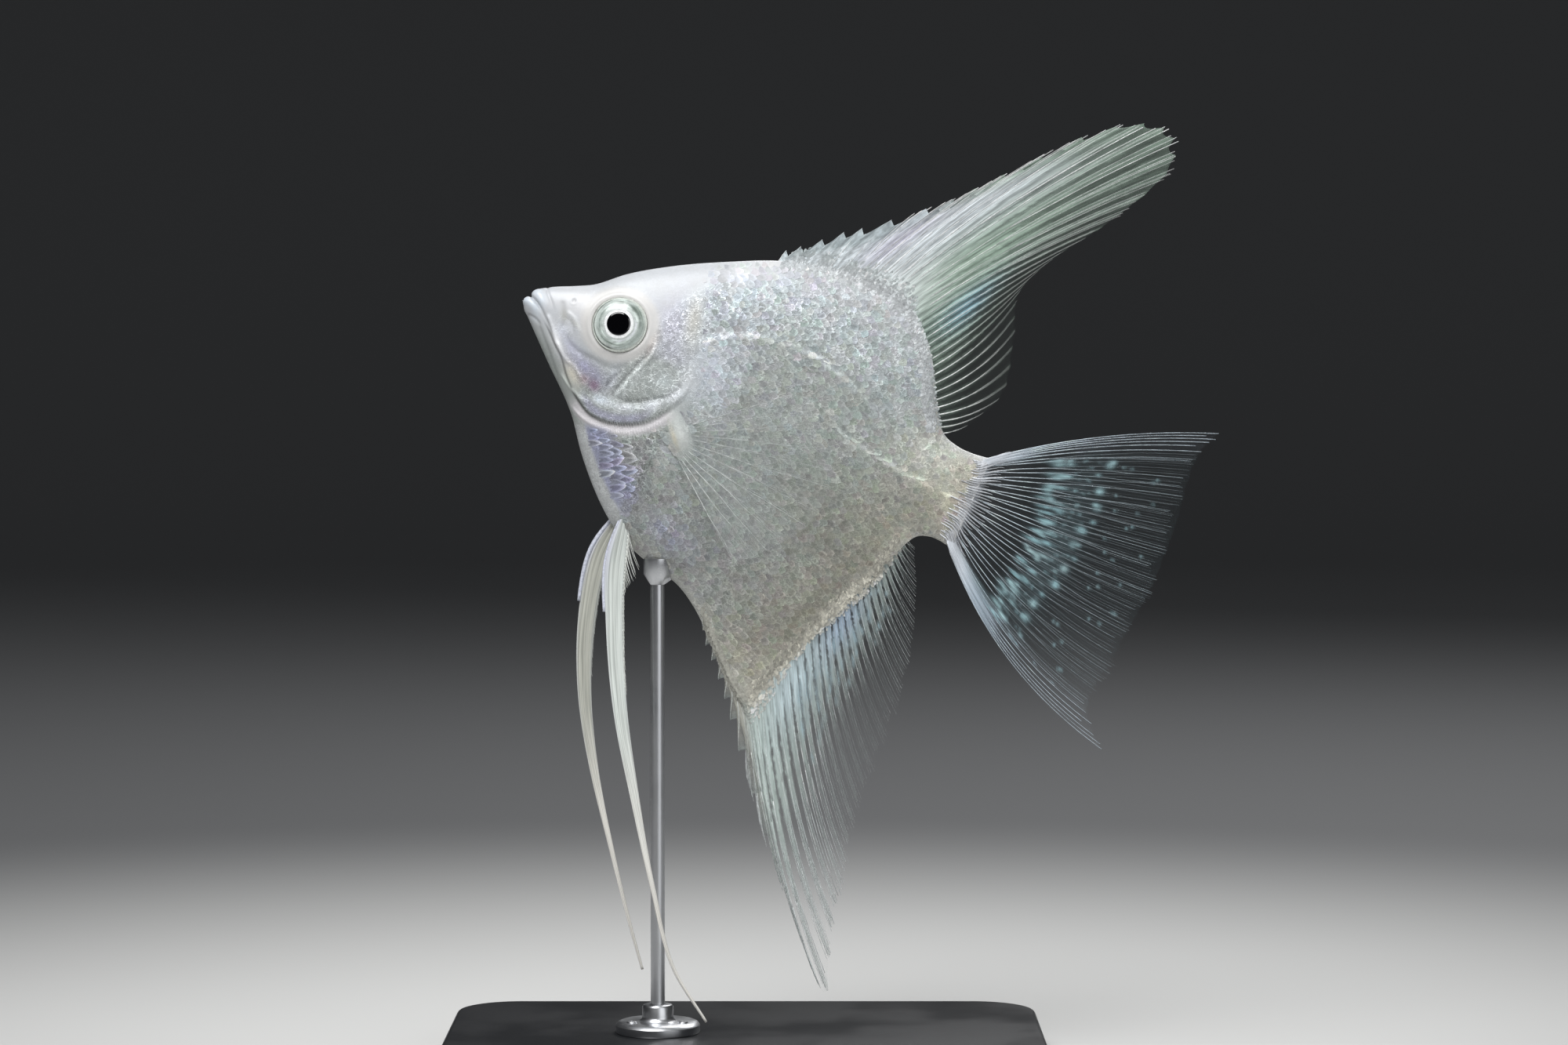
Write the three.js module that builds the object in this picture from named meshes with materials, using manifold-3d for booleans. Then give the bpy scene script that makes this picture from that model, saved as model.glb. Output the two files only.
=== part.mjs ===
// A life-size display model of a freshwater angelfish, nose up, on a plain stand.
// Millimetres, +Z up. The fish faces -X and its left side faces -Y.
// Body frame: x runs from the snout tip to the tail, z towards the back fin, y = 0 is the plane of symmetry.
import * as THREE from "three";
import { mergeVertices } from "three/addons/utils/BufferGeometryUtils.js";
import Module from "manifold-3d";

const wasm = await Module();
wasm.setup();

// ---- driving dimensions ----
const BODY_LENGTH = 75; // snout tip to the end of the tail base, the standard length
const NOSE_UP = THREE.MathUtils.degToRad(24);
const GAP = 0.3; // between one sub-part and the next
const BASE = { length: 92, depth: 64, height: 6, corner: 9, chamfer: 0.8 };
const FIN_CLEARANCE = 2; // lowest fin tip above the base
const SNOUT = new THREE.Vector3(-33.8, 0, 110.2 + BASE.height + FIN_CLEARANCE);
const ROD_AT = -13.4; // along X
const ROD_RADIUS = 1.1;

// ---- the side outline and thickness of the body: [distance from the snout, value] ----
const BACK_LINE = [
  [0, 0.2], [0.5, 1.5], [1.5, 2.9], [3.1, 4], [6.3, 5.6], [9, 7.1], [12.7, 10.4], [18.8, 14.5],
  [26, 18.4], [33.8, 22], [41, 23.8], [46.5, 24.5], [52, 23.7], [57, 21.6], [60.6, 17.6],
  [64, 11.6], [66.6, 8.1], [69.4, 7], [72, 6.9], [BODY_LENGTH, 7.3],
];
const BELLY_LINE = [
  [0, 0], [0.5, -1], [1.5, -1.9], [6.8, -6.7], [13.6, -12.8], [17.4, -17.6], [22.8, -23.1],
  [27.6, -26.6], [33, -28.7], [39.3, -30.2], [43.8, -33], [49.5, -38.3], [54.6, -42.6],
  [56.4, -42.4], [57.9, -38], [60, -30.1], [62.8, -22.2], [66.6, -14.6], [69, -9],
  [71, -7.7], [BODY_LENGTH, -7.8],
];
const HALF_WIDTH = [
  [0, 0.9], [1, 1.6], [3, 2.2], [6, 2.9], [10, 3.9], [15, 4.8], [20, 5.6], [25, 6],
  [32, 6], [40, 5.6], [48, 4.8], [56, 3.8], [63, 2.9], [69, 2.2], [BODY_LENGTH, 1.3],
];
const WIDEST_LEVEL = [[0, 0.3], [6, 0.6], [15, 0.6], [25, -2.5], [40, -2.5], [56, -0.5], [BODY_LENGTH, -0.2]];
// How keeled the section is: 1 is an ellipse, more is sharper at the back and belly.
const KEEL = [[0, 0.9], [10, 1], [20, 1.15], [32, 1.3], [45, 1.5], [62, 1.4], [BODY_LENGTH, 1]];
// [first, last, steps] of the sections: closest at the mouth and behind the anal fin's lobe.
const SECTIONS = [[0, 2, 3], [2, 14, 6], [14, 53, 15], [53, 61, 8], [61, 71, 6], [71, BODY_LENGTH, 2]];
const AROUND = 24;

// A smooth function through [x, value] points.
function through(points) {
  const curve = new THREE.CubicInterpolant(
    points.map((p) => p[0]),
    points.map((p) => p[1]),
    1,
    [0],
  );
  const last = points[points.length - 1][0];
  return (x) => curve.evaluate(THREE.MathUtils.clamp(x, points[0][0], last))[0];
}

// A smooth plane curve through [share of the run, x, z] points.
function path(points) {
  const x = through(points.map((p) => [p[0], p[1]]));
  const z = through(points.map((p) => [p[0], p[2]]));
  return (u) => [x(u), z(u)];
}

const back = through(BACK_LINE);
const belly = through(BELLY_LINE);
const halfWidth = through(HALF_WIDTH);
const widestLevel = through(WIDEST_LEVEL);
const keel = through(KEEL);

// ---- solids ----
function solidOf(geometry) {
  const bare = geometry.clone();
  bare.deleteAttribute("normal");
  bare.deleteAttribute("uv");
  const merged = mergeVertices(bare, 1e-4);
  return new wasm.Manifold(
    new wasm.Mesh({
      numProp: 3,
      vertProperties: new Float32Array(merged.attributes.position.array),
      triVerts: new Uint32Array(merged.index.array),
    }),
  );
}

function geometryOf(solid) {
  const { vertProperties, triVerts } = solid.getMesh();
  const geometry = new THREE.BufferGeometry();
  geometry.setAttribute("position", new THREE.BufferAttribute(vertProperties, 3));
  geometry.setIndex(new THREE.BufferAttribute(triVerts, 1));
  return geometry;
}

function indexed(points, faces) {
  const geometry = new THREE.BufferGeometry();
  geometry.setAttribute("position", new THREE.Float32BufferAttribute(points.flat(), 3));
  geometry.setIndex(faces.flat());
  return geometry;
}

// A closed skin over rings of points that all have the same count.
function loft(rings) {
  const count = rings[0].length;
  const faces = [];
  for (let i = 0; i + 1 < rings.length; i++)
    for (let k = 0; k < count; k++) {
      const [a, b] = [i * count + k, i * count + ((k + 1) % count)];
      faces.push([a, b, a + count], [b, b + count, a + count]);
    }
  const last = (rings.length - 1) * count;
  for (let k = 1; k + 1 < count; k++)
    faces.push([0, k + 1, k], [last, last + k, last + k + 1]);
  return indexed(rings.flat(), faces);
}

// The whole body, swollen by `grow` so that it can cut its neighbours with a gap.
function bodySolid(grow = 0) {
  const stations = [0];
  for (const [first, last, steps] of SECTIONS)
    for (let i = 1; i <= steps; i++) stations.push(first + ((last - first) * i) / steps);
  const rings = stations.map((x) => {
    const top = back(x) + grow;
    const bottom = belly(x) - grow;
    const level = widestLevel(x);
    const out = x < 1 ? -grow : x > BODY_LENGTH - 1 ? grow : 0;
    return Array.from({ length: AROUND }, (_, k) => {
      const angle = (2 * Math.PI * k) / AROUND;
      const [c, s] = [Math.cos(angle), Math.sin(angle)];
      const y = (halfWidth(x) + grow) * Math.sign(c) * Math.abs(c) ** keel(x);
      return [x + out, y, level + (s > 0 ? top - level : level - bottom) * s];
    });
  });
  return solidOf(loft(rings));
}

// A plate through the body: an outline in the plane of symmetry, between two depths in Y.
function slab(outline, near, far) {
  const shape = new THREE.Shape(outline.map(([x, z]) => new THREE.Vector2(x, z)));
  const plate = new THREE.ExtrudeGeometry(shape, { depth: far - near, bevelEnabled: false });
  plate.rotateX(Math.PI / 2).translate(0, far, 0);
  return solidOf(plate);
}

// A cut of width GAP along a line of points, right through the body.
function thinCut(line) {
  const half = GAP / 2;
  const sides = line.map(([x, z], i) => {
    const [x0, z0] = line[Math.max(i - 1, 0)];
    const [x1, z1] = line[Math.min(i + 1, line.length - 1)];
    const length = Math.hypot(x1 - x0, z1 - z0);
    const [nx, nz] = [(-(z1 - z0) / length) * half, ((x1 - x0) / length) * half];
    return [[x + nx, z + nz], [x - nx, z - nz]];
  });
  return slab([...sides.map((s) => s[0]), ...sides.map((s) => s[1]).reverse()], -20, 20);
}

// A closed plate over a grid of centre points, with its own half thickness at each.
function plate(columns, rows, centre, half) {
  const points = [];
  for (const side of [-1, 1])
    for (let j = 0; j <= columns; j++)
      for (let i = 0; i <= rows; i++) {
        const [x, y, z] = centre(j / columns, i / rows);
        points.push([x, y + side * half(j, i), z]);
      }
  const size = (columns + 1) * (rows + 1);
  const at = (j, i, side) => side * size + j * (rows + 1) + i;
  const faces = [];
  const quad = (a, b, c, d) => faces.push([a, b, c], [a, c, d]);
  for (let j = 0; j < columns; j++)
    for (let i = 0; i < rows; i++) {
      quad(at(j, i, 0), at(j + 1, i, 0), at(j + 1, i + 1, 0), at(j, i + 1, 0));
      quad(at(j, i, 1), at(j, i + 1, 1), at(j + 1, i + 1, 1), at(j + 1, i, 1));
    }
  for (let j = 0; j < columns; j++) {
    quad(at(j, 0, 0), at(j, 0, 1), at(j + 1, 0, 1), at(j + 1, 0, 0));
    quad(at(j, rows, 0), at(j + 1, rows, 0), at(j + 1, rows, 1), at(j, rows, 1));
  }
  for (let i = 0; i < rows; i++) {
    quad(at(0, i, 0), at(0, i + 1, 0), at(0, i + 1, 1), at(0, i, 1));
    quad(at(columns, i, 0), at(columns, i, 1), at(columns, i + 1, 1), at(columns, i + 1, 0));
  }
  const solid = solidOf(indexed(points, faces));
  return solid.volume() < 0 ? solidOf(indexed(points, faces.map(([a, b, c]) => [a, c, b]))) : solid;
}

// ---- fins ----
const RAY_HALF = 0.42; // half thickness of a ray at its root
const WEB_HALF = 0.25; // of the skin between the rays, and of a ray's tip

// A fin of `rays` rays from a root line to a tip line. `notch` is how far the web stops short of the
// ray tips, `arch` bows each ray in the plane of the fin, and `sway` moves it sideways.
function finSolid({ rays, rows, root, tip, notch, arch = () => 0, sway = () => 0 }) {
  const columns = 2 * (rays - 1);
  const centre = (u, v) => {
    const isWeb = Math.round(u * columns) % 2 === 1;
    const [x0, z0] = root(u);
    const [x1, z1] = tip(u);
    const length = Math.hypot(x1 - x0, z1 - z0);
    const reach = isWeb ? Math.max(1 - notch(u) / length, 0.4) : 1;
    const along = v * reach;
    const bow = 4 * arch(u) * along * (1 - along);
    return [
      x0 + (x1 - x0) * along - bow * (z1 - z0),
      sway(u, along),
      z0 + (z1 - z0) * along + bow * (x1 - x0),
    ];
  };
  const half = (j, i) => (j % 2 ? WEB_HALF : THREE.MathUtils.lerp(RAY_HALF, WEB_HALF, i / rows));
  return plate(columns, rows, centre, half);
}

const ROOT_DEPTH = 1.6; // how far each fin is sunk before the body's shape is cut from it
const smooth = THREE.MathUtils.smoothstep;

// The back fin: short spines that lengthen backwards, then the soft rays.
const DORSAL_ROOT = path([
  [0, 32.6, 21.3], [0.12, 37.5, 22.9], [0.3, 44.5, 24.3], [0.46, 50.8, 24], [0.6, 56.3, 21.8],
  [0.74, 60.6, 17.6], [0.88, 63.8, 12], [1, 66.2, 8.5],
].map(([u, x, z]) => [u, x - ROOT_DEPTH * smooth(u, 0.3, 0.8), z - ROOT_DEPTH]));
const DORSAL_TIP = path([
  [0, 33.8, 23.2], [0.07, 36.7, 25.6], [0.14, 40.8, 29.4], [0.22, 45, 32.6], [0.29, 53.2, 40.2],
  [0.35, 60, 48.2], [0.4, 68.6, 58.2], [0.44, 74.8, 63.2], [0.49, 80.4, 63.8], [0.54, 82, 58.6],
  [0.6, 77.6, 49], [0.7, 71, 38.6], [0.78, 68.6, 32], [0.86, 70.7, 25.6], [0.94, 72.6, 17],
  [1, 69.6, 10.2],
]);
const dorsalSway = (u, v) => v * v * (2.2 * smooth(u, 0.55, 0.9) - 1.4 * smooth(u, 0.3, 0.5));

// The anal fin: spines down the front of the body's lobe, then the soft rays.
const ANAL_ROOT = path([
  [0, 43.6, -31.6], [0.1, 47.5, -35.2], [0.2, 51.6, -39], [0.29, 54.8, -41.2], [0.36, 55.8, -40.6],
  [0.5, 58, -34], [0.62, 60, -28], [0.76, 62.6, -20.6], [0.9, 66, -13.8], [1, 68.6, -8.4],
]);
const ANAL_TIP = path([
  [0, 45.2, -34.3], [0.1, 49.4, -38.4], [0.18, 53.4, -42.8], [0.24, 57.6, -48], [0.29, 65, -56.8],
  [0.34, 74.8, -68.2], [0.39, 85.5, -78.8], [0.44, 83, -70.4], [0.5, 81.2, -62.6], [0.6, 78.4, -50],
  [0.72, 78, -37], [0.82, 76.8, -27], [0.91, 74, -17.8], [1, 70.2, -10.2],
]);
const analSway = (u, v) => v * v * (5.5 * smooth(u, 0.4, 0.9) + 1.6 * smooth(u, 0.25, 0.4));

// The tail fin: a fan with a straight rear edge and longer corner rays.
const CAUDAL_ROOT = path([[0, 74, 6.6], [0.5, 74.6, -0.2], [1, 74, -7.2]]);
const CAUDAL_TIP = path([
  [0, 105.4, 24.9], [0.06, 104.2, 21.6], [0.3, 105.4, 9.4], [0.5, 105.8, -0.4], [0.72, 104.8, -11.4],
  [0.92, 104.4, -22.4], [1, 108.4, -26.4],
]);
const caudalSway = (u, v) => v * v * 2.4 * Math.sin(Math.PI * (u * 1.3 + 0.15));

// A side fin lies off the flank like an open fan, hinged at its front edge.
const PECTORAL = { rays: 9, x: 31.4, z: -9.6, reach: 24, root: 2.4, open: 0.3 };
const PECTORAL_SPREAD = [[0, 0.72], [0.3, 0.32], [0.6, -0.1], [1, -0.65]]; // ray directions in radians
const PECTORAL_REACH = [[0, 0.74], [0.25, 0.93], [0.55, 0.98], [0.78, 0.86], [1, 0.76]];

function pectoralSolid(side) {
  const direction = through(PECTORAL_SPREAD);
  const share = through(PECTORAL_REACH);
  const root = (u) => [PECTORAL.x - 1 + 0.8 * u, PECTORAL.z + PECTORAL.root * (1 - 2 * u)];
  const tip = (u) => {
    const [x, z] = root(u);
    const length = PECTORAL.reach * share(u);
    return [x + length * Math.cos(direction(u)), z + length * Math.sin(direction(u))];
  };
  const flank = halfWidth(PECTORAL.x) * 0.9;
  const sway = (u, v) => side * (flank + PECTORAL.reach * v * (PECTORAL.open - 0.1 * v));
  return finSolid({ rays: PECTORAL.rays, rows: 4, root, tip, notch: () => 0.6, sway });
}

// A belly fin: a ribbon of joined rays that draws out to a thread, with a spine along its front.
const PELVIC_NEAR = path([
  [0, 27.4, -23.4], [0.1, 28.9, -30.6], [0.21, 32, -37.8], [0.42, 38.6, -50.4], [0.62, 46, -61.6],
  [0.8, 54.6, -73.8], [0.92, 62.4, -83.6], [1, 70.2, -89],
]);
const PELVIC_FAR = path([
  [0, 26.6, -23.6], [0.1, 26, -30.6], [0.21, 27.7, -38.4], [0.42, 32.3, -50.4], [0.62, 38.6, -61.2],
  [0.8, 46.6, -72.2], [0.92, 53.4, -81], [1, 58.3, -87],
]);
const PELVIC_FRONT = [[0, 1.4], [0.1, 2.1], [0.19, 2.4], [0.25, 1.3], [0.5, 0.95], [0.75, 0.45], [1, 0.25]];
const PELVIC_REAR = [[0, 1.6], [0.08, 2.2], [0.2, 1.7], [0.4, 1.25], [0.55, 0.9], [0.75, 0.45], [1, 0.25]];

function pelvicSolid(side, line) {
  const front = through(PELVIC_FRONT);
  const rear = through(PELVIC_REAR);
  const centre = (u, v) => {
    const [x, z] = line(v);
    const [x1, z1] = line(Math.min(v + 0.01, 1));
    const [x0, z0] = line(Math.max(v - 0.01, 0));
    const length = Math.hypot(x1 - x0, z1 - z0);
    const across = THREE.MathUtils.lerp(-front(v), rear(v), u);
    return [
      x - (across * (z1 - z0)) / length,
      side * (1.5 + 3.4 * smooth(v, 0, 0.7) - 0.5 * (u - 0.5) * (1 - v)),
      z + (across * (x1 - x0)) / length,
    ];
  };
  const rows = 16;
  const half = (j, i) => THREE.MathUtils.lerp(0.45, 0.26, i / rows) + (j % 2 ? 0.1 : 0);
  return plate(3, rows, centre, half);
}

// ---- head ----
const EYE = { x: 15, z: 2.9, radius: 4.3, dome: 1.3, depth: 2.2, proud: 0.1 };
const GILL_SLIT = [[23.2, 18.4], [24.6, 11.6], [26.2, 5.8], [26.9, 1.2], [27.5, -2.6], [27, -6.2],
  [25, -9.4], [21.8, -11.7], [18, -12.8], [12.4, -12.6]];
const GILL_COVER = [[21.6, 4], [25.6, 4.4], [26.2, 1.2], [26.8, -2.6], [26.2, -5.8], [24.4, -8.6],
  [21.4, -10.7], [18.4, -11.6], [15.6, -11.4], [17.2, -7.4], [18, -4.2], [19.6, -0.6]];
const MOUTH_LINE = [[-1, 1.9], [1.2, 0.9], [4.2, -0.4], [7, -2.6], [9.9, -5.2], [10.4, -6.8], [8.2, -9.4]];
const LIP_LINE = [[3.4, 5.4], [4.4, 2.6], [4.2, -0.2]];
const BREAST_LINE = [[27.2, -3.6], [28.2, -5.5], [29.4, -12], [29.8, -20], [30.6, -29.4]];
const TAIL_LINE = [[66.4, 10.4], [67.8, 4], [68.6, -3], [68.2, -12.6]];

function eyeSolid(side, grow = 0) {
  const { x, z, radius, dome, depth, proud } = EYE;
  const r = radius + grow;
  const points = [new THREE.Vector2(0, -depth - grow), new THREE.Vector2(r * 0.72, -depth - grow)];
  const steps = 4;
  for (let i = 0; i <= steps; i++) {
    const angle = (Math.PI / 2) * (i / steps);
    points.push(new THREE.Vector2(r * Math.cos(angle), (dome + grow) * Math.sin(angle)));
  }
  points[points.length - 1].x = 0;
  const eye = new THREE.LatheGeometry(points, 20);
  const outward = new THREE.Vector3(-0.16, side, 0.1).normalize();
  const turn = new THREE.Quaternion().setFromUnitVectors(new THREE.Vector3(0, 1, 0), outward);
  const cheek = halfWidth(x) * 0.97 + proud;
  eye.applyQuaternion(turn).translate(x, side * cheek, z);
  return solidOf(eye);
}

function gillCoverBlock(side, grow = 0) {
  const middle = [22, -4];
  const outline = GILL_COVER.map(([x, z]) => {
    const length = Math.hypot(x - middle[0], z - middle[1]);
    const share = 1 + grow / length;
    return [middle[0] + (x - middle[0]) * share, middle[1] + (z - middle[1]) * share];
  });
  const inner = 3.4 - grow;
  return side > 0 ? slab(outline, inner, 12) : slab(outline, -12, -inner);
}

// ---- cut the body into its parts ----
const whole = bodySolid();
const cuts = [GILL_SLIT, MOUTH_LINE, LIP_LINE, BREAST_LINE, TAIL_LINE].map(thinCut);
const parts = whole.subtract(wasm.Manifold.union(cuts)).decompose();
const centreOf = (solid) => {
  const { min, max } = solid.boundingBox();
  return min.map((low, i) => (low + max[i]) / 2);
};
// The part whose middle is nearest to a given point of the side view.
const partAt = (x, z) =>
  parts.reduce((best, part) => {
    const far = (p) => Math.hypot(centreOf(p)[0] - x, centreOf(p)[2] - z);
    return far(part) < far(best) ? part : best;
  });

let head = partAt(15, 1);
const gillCovers = [-1, 1].map((side) => gillCoverBlock(side).intersect(head));
for (const side of [-1, 1])
  head = head.subtract(gillCoverBlock(side, GAP)).subtract(eyeSolid(side, GAP));

// ---- materials ----
const finish = (color, roughness, metalness = 0) =>
  new THREE.MeshStandardMaterial({ color, roughness, metalness });
const materials = {
  crown: finish(0xe3e6e8, 0.4, 0.1),
  flank: finish(0xb0b4b0, 0.38, 0.25),
  gill: finish(0xc3c9cc, 0.3, 0.35),
  lip: finish(0xdcdcd8, 0.45),
  fin: finish(0xc4cdcc, 0.4, 0.05),
  ribbon: finish(0xd2d6cf, 0.45),
  eye: finish(0xaeb8b2, 0.1, 0.2),
  lacquer: finish(0x17181a, 0.35),
  steel: finish(0xb9bcbf, 0.3, 1),
};

const fish = new THREE.Group();
fish.rotation.y = NOSE_UP;
fish.position.copy(SNOUT);
const model = new THREE.Group();
model.add(fish);

function add(group, name, solid, material) {
  const mesh = new THREE.Mesh(geometryOf(solid), materials[material]);
  mesh.name = name;
  group.add(mesh);
}

add(fish, "head", head, "crown");
add(fish, "upper_jaw", partAt(2.4, 2.4), "lip");
add(fish, "lower_jaw", partAt(5, -4), "lip");
add(fish, "gill_cover_left", gillCovers[0], "gill");
add(fish, "gill_cover_right", gillCovers[1], "gill");
add(fish, "breast", partAt(22, -20), "flank");
add(fish, "trunk", partAt(48, -9), "flank");
add(fish, "tail_base", partAt(71, 0), "flank");
add(fish, "eye_left", eyeSolid(-1), "eye");
add(fish, "eye_right", eyeSolid(1), "eye");

// Each fin is cut by the swollen body, and what is left outside it is the fin.
const swollen = bodySolid(GAP);
const largest = (solid) => solid.decompose().reduce((a, b) => (b.volume() > a.volume() ? b : a));
const outside = (fin) => largest(fin.subtract(swollen));

const dorsal = finSolid({
  rays: 27, rows: 4, root: DORSAL_ROOT, tip: DORSAL_TIP, sway: dorsalSway,
  notch: (u) => THREE.MathUtils.lerp(1.5, 0.7, smooth(u, 0.25, 0.4)),
  arch: (u) => 0.03 - 0.09 * smooth(u, 0.6, 0.85),
});
const anal = finSolid({
  rays: 25, rows: 5, root: ANAL_ROOT, tip: ANAL_TIP, sway: analSway,
  notch: (u) => THREE.MathUtils.lerp(1.6, 0.7, smooth(u, 0.22, 0.32)),
  arch: (u) => 0.04 * smooth(u, 0.25, 0.45),
});
const caudal = finSolid({
  rays: 15, rows: 4, root: CAUDAL_ROOT, tip: CAUDAL_TIP, sway: caudalSway,
  notch: () => 0.7, arch: (u) => 0.04 - 0.12 * u,
});
add(fish, "dorsal_fin", outside(dorsal), "fin");
add(fish, "anal_fin", outside(anal), "fin");
add(fish, "caudal_fin", outside(caudal), "fin");
add(fish, "pectoral_fin_left", outside(pectoralSolid(-1)), "fin");
add(fish, "pectoral_fin_right", outside(pectoralSolid(1)), "fin");
add(fish, "pelvic_fin_left", outside(pelvicSolid(-1, PELVIC_NEAR)), "ribbon");
add(fish, "pelvic_fin_right", outside(pelvicSolid(1, PELVIC_FAR)), "ribbon");

// ---- the stand ----
function baseSolid() {
  const { length, depth, height, corner, chamfer } = BASE;
  const [a, b] = [length / 2 - chamfer, depth / 2 - chamfer];
  const outline = new THREE.Shape();
  outline.moveTo(-a + corner, -b).lineTo(a - corner, -b).absarc(a - corner, -b + corner, corner, -Math.PI / 2, 0);
  outline.lineTo(a, b - corner).absarc(a - corner, b - corner, corner, 0, Math.PI / 2);
  outline.lineTo(-a + corner, b).absarc(-a + corner, b - corner, corner, Math.PI / 2, Math.PI);
  outline.lineTo(-a, -b + corner).absarc(-a + corner, -b + corner, corner, Math.PI, 1.5 * Math.PI);
  const block = new THREE.ExtrudeGeometry(outline, {
    depth: height - 2 * chamfer, curveSegments: 4,
    bevelThickness: chamfer, bevelSize: chamfer, bevelSegments: 1,
  });
  return solidOf(block.translate(0, 0, chamfer));
}

function turned(profile, sides = 18) {
  const lathe = new THREE.LatheGeometry(profile.map(([r, z]) => new THREE.Vector2(r, z)), sides);
  return solidOf(lathe.rotateX(Math.PI / 2).translate(ROD_AT, 0, 0));
}

// The fish's swollen body in the stand's own frame, to shape the saddle that holds it.
fish.updateMatrix();
const bodyInPlace = solidOf(geometryOf(swollen).applyMatrix4(fish.matrix));
const SADDLE_RADIUS = 2.1;
const SADDLE_TOP = 79;
const under = largest(turned([[0, 60], [SADDLE_RADIUS, 60], [SADDLE_RADIUS, SADDLE_TOP], [0, SADDLE_TOP]])
  .subtract(bodyInPlace).trimByPlane([0, 0, -1], -SADDLE_TOP));
const saddleFoot = under.boundingBox().max[2] - 4;
const saddle = turned([[0, saddleFoot], [ROD_RADIUS, saddleFoot], [SADDLE_RADIUS, saddleFoot + 1.6],
  [SADDLE_RADIUS, SADDLE_TOP], [0, SADDLE_TOP]]).subtract(bodyInPlace);
const lowestFirst = (solid) =>
  solid.decompose().reduce((a, b) => (b.boundingBox().min[2] < a.boundingBox().min[2] ? b : a));

const FLANGE = { radius: 6.5, height: 1.8, hub: 2.4, hubHeight: 4.4 };
const foot = BASE.height;
add(model, "stand_base", baseSolid(), "lacquer");
add(model, "stand_flange", turned([
  [ROD_RADIUS + 0.1, foot], [FLANGE.radius, foot], [FLANGE.radius, foot + FLANGE.height - 0.5],
  [FLANGE.radius - 0.5, foot + FLANGE.height], [FLANGE.hub + 0.6, foot + FLANGE.height],
  [FLANGE.hub, foot + FLANGE.height + 0.6], [FLANGE.hub, foot + FLANGE.hubHeight],
  [ROD_RADIUS + 0.1, foot + FLANGE.hubHeight], [ROD_RADIUS + 0.1, foot],
]), "steel");
add(model, "stand_rod", turned([[0, foot], [ROD_RADIUS, foot], [ROD_RADIUS, saddleFoot], [0, saddleFoot]]), "steel");
add(model, "stand_saddle", lowestFirst(saddle), "steel");

export default model;
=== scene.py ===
# Freshwater angelfish: a life-size display model, nose up, on a plain stand.
# The fish's own frame is in millimetres: x from the snout tip to the tail, z towards the back, y = 0 the
# plane of symmetry and -y the left side. to_row() turns it nose-up and sets it over the stand.
import math

import bpy
import numpy as np
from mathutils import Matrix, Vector
from mathutils.bvhtree import BVHTree


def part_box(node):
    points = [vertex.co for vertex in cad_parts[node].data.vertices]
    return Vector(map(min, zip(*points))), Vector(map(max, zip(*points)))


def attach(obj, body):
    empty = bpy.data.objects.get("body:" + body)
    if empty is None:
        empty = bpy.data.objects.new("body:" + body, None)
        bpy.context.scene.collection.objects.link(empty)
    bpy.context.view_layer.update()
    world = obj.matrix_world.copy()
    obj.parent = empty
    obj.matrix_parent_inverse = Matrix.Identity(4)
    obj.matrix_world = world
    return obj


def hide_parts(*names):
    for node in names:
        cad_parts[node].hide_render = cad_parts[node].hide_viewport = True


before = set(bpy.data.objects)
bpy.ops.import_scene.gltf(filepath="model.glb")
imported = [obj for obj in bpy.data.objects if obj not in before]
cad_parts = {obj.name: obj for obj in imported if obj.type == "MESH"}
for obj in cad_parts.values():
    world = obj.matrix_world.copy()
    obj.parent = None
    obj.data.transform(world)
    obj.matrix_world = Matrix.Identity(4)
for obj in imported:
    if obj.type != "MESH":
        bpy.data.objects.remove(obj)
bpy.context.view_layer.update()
rng = np.random.default_rng(20)

MM = 0.001
NOSE_UP = math.radians(24)
SNOUT = np.array([-33.8, 0.0, 118.2])
BODY_LENGTH = 75.0
SIDES = {"left": -1, "right": 1}


# ---------------------------------------------------------------- lines and masks
def through(*points):
    """A smooth function through (x, value) points."""
    xs, ys = np.array(points, float).T

    def value(x):
        x = np.clip(np.asarray(x, float), xs[0], xs[-1])
        i = np.clip(np.searchsorted(xs, x, side="right") - 1, 0, len(xs) - 2)
        step = xs[i + 1] - xs[i]
        first, last = i == 0, i + 2 >= len(xs)
        before, after = np.where(first, i + 1, i - 1), np.where(last, i, i + 2)
        after = np.minimum(after, len(xs) - 1)
        wp = np.where(first, -0.5, step / 2 / (xs[i] - xs[before]))
        wn = np.where(last, -0.5, step / 2 / np.where(last, 1, xs[after] - xs[i + 1]))
        p = (x - xs[i]) / step
        return (
            (-wp * p**3 + 2 * wp * p**2 - wp * p) * ys[before]
            + ((1 + wp) * p**3 + (-1.5 - 2 * wp) * p**2 + (wp - 0.5) * p + 1) * ys[i]
            + ((-1 - wn) * p**3 + (1.5 + wn) * p**2 + 0.5 * p) * ys[i + 1]
            + (wn * p**3 - wn * p**2) * ys[after]
        )

    return value


def path(*points):
    """A smooth plane curve through (share of the run, x, z) points."""
    x = through(*[(p[0], p[1]) for p in points])
    z = through(*[(p[0], p[2]) for p in points])
    return lambda u: (x(u), z(u))


def smooth(value, low, high):
    t = np.clip((value - low) / (high - low), 0, 1)
    return t * t * (3 - 2 * t)


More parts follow.
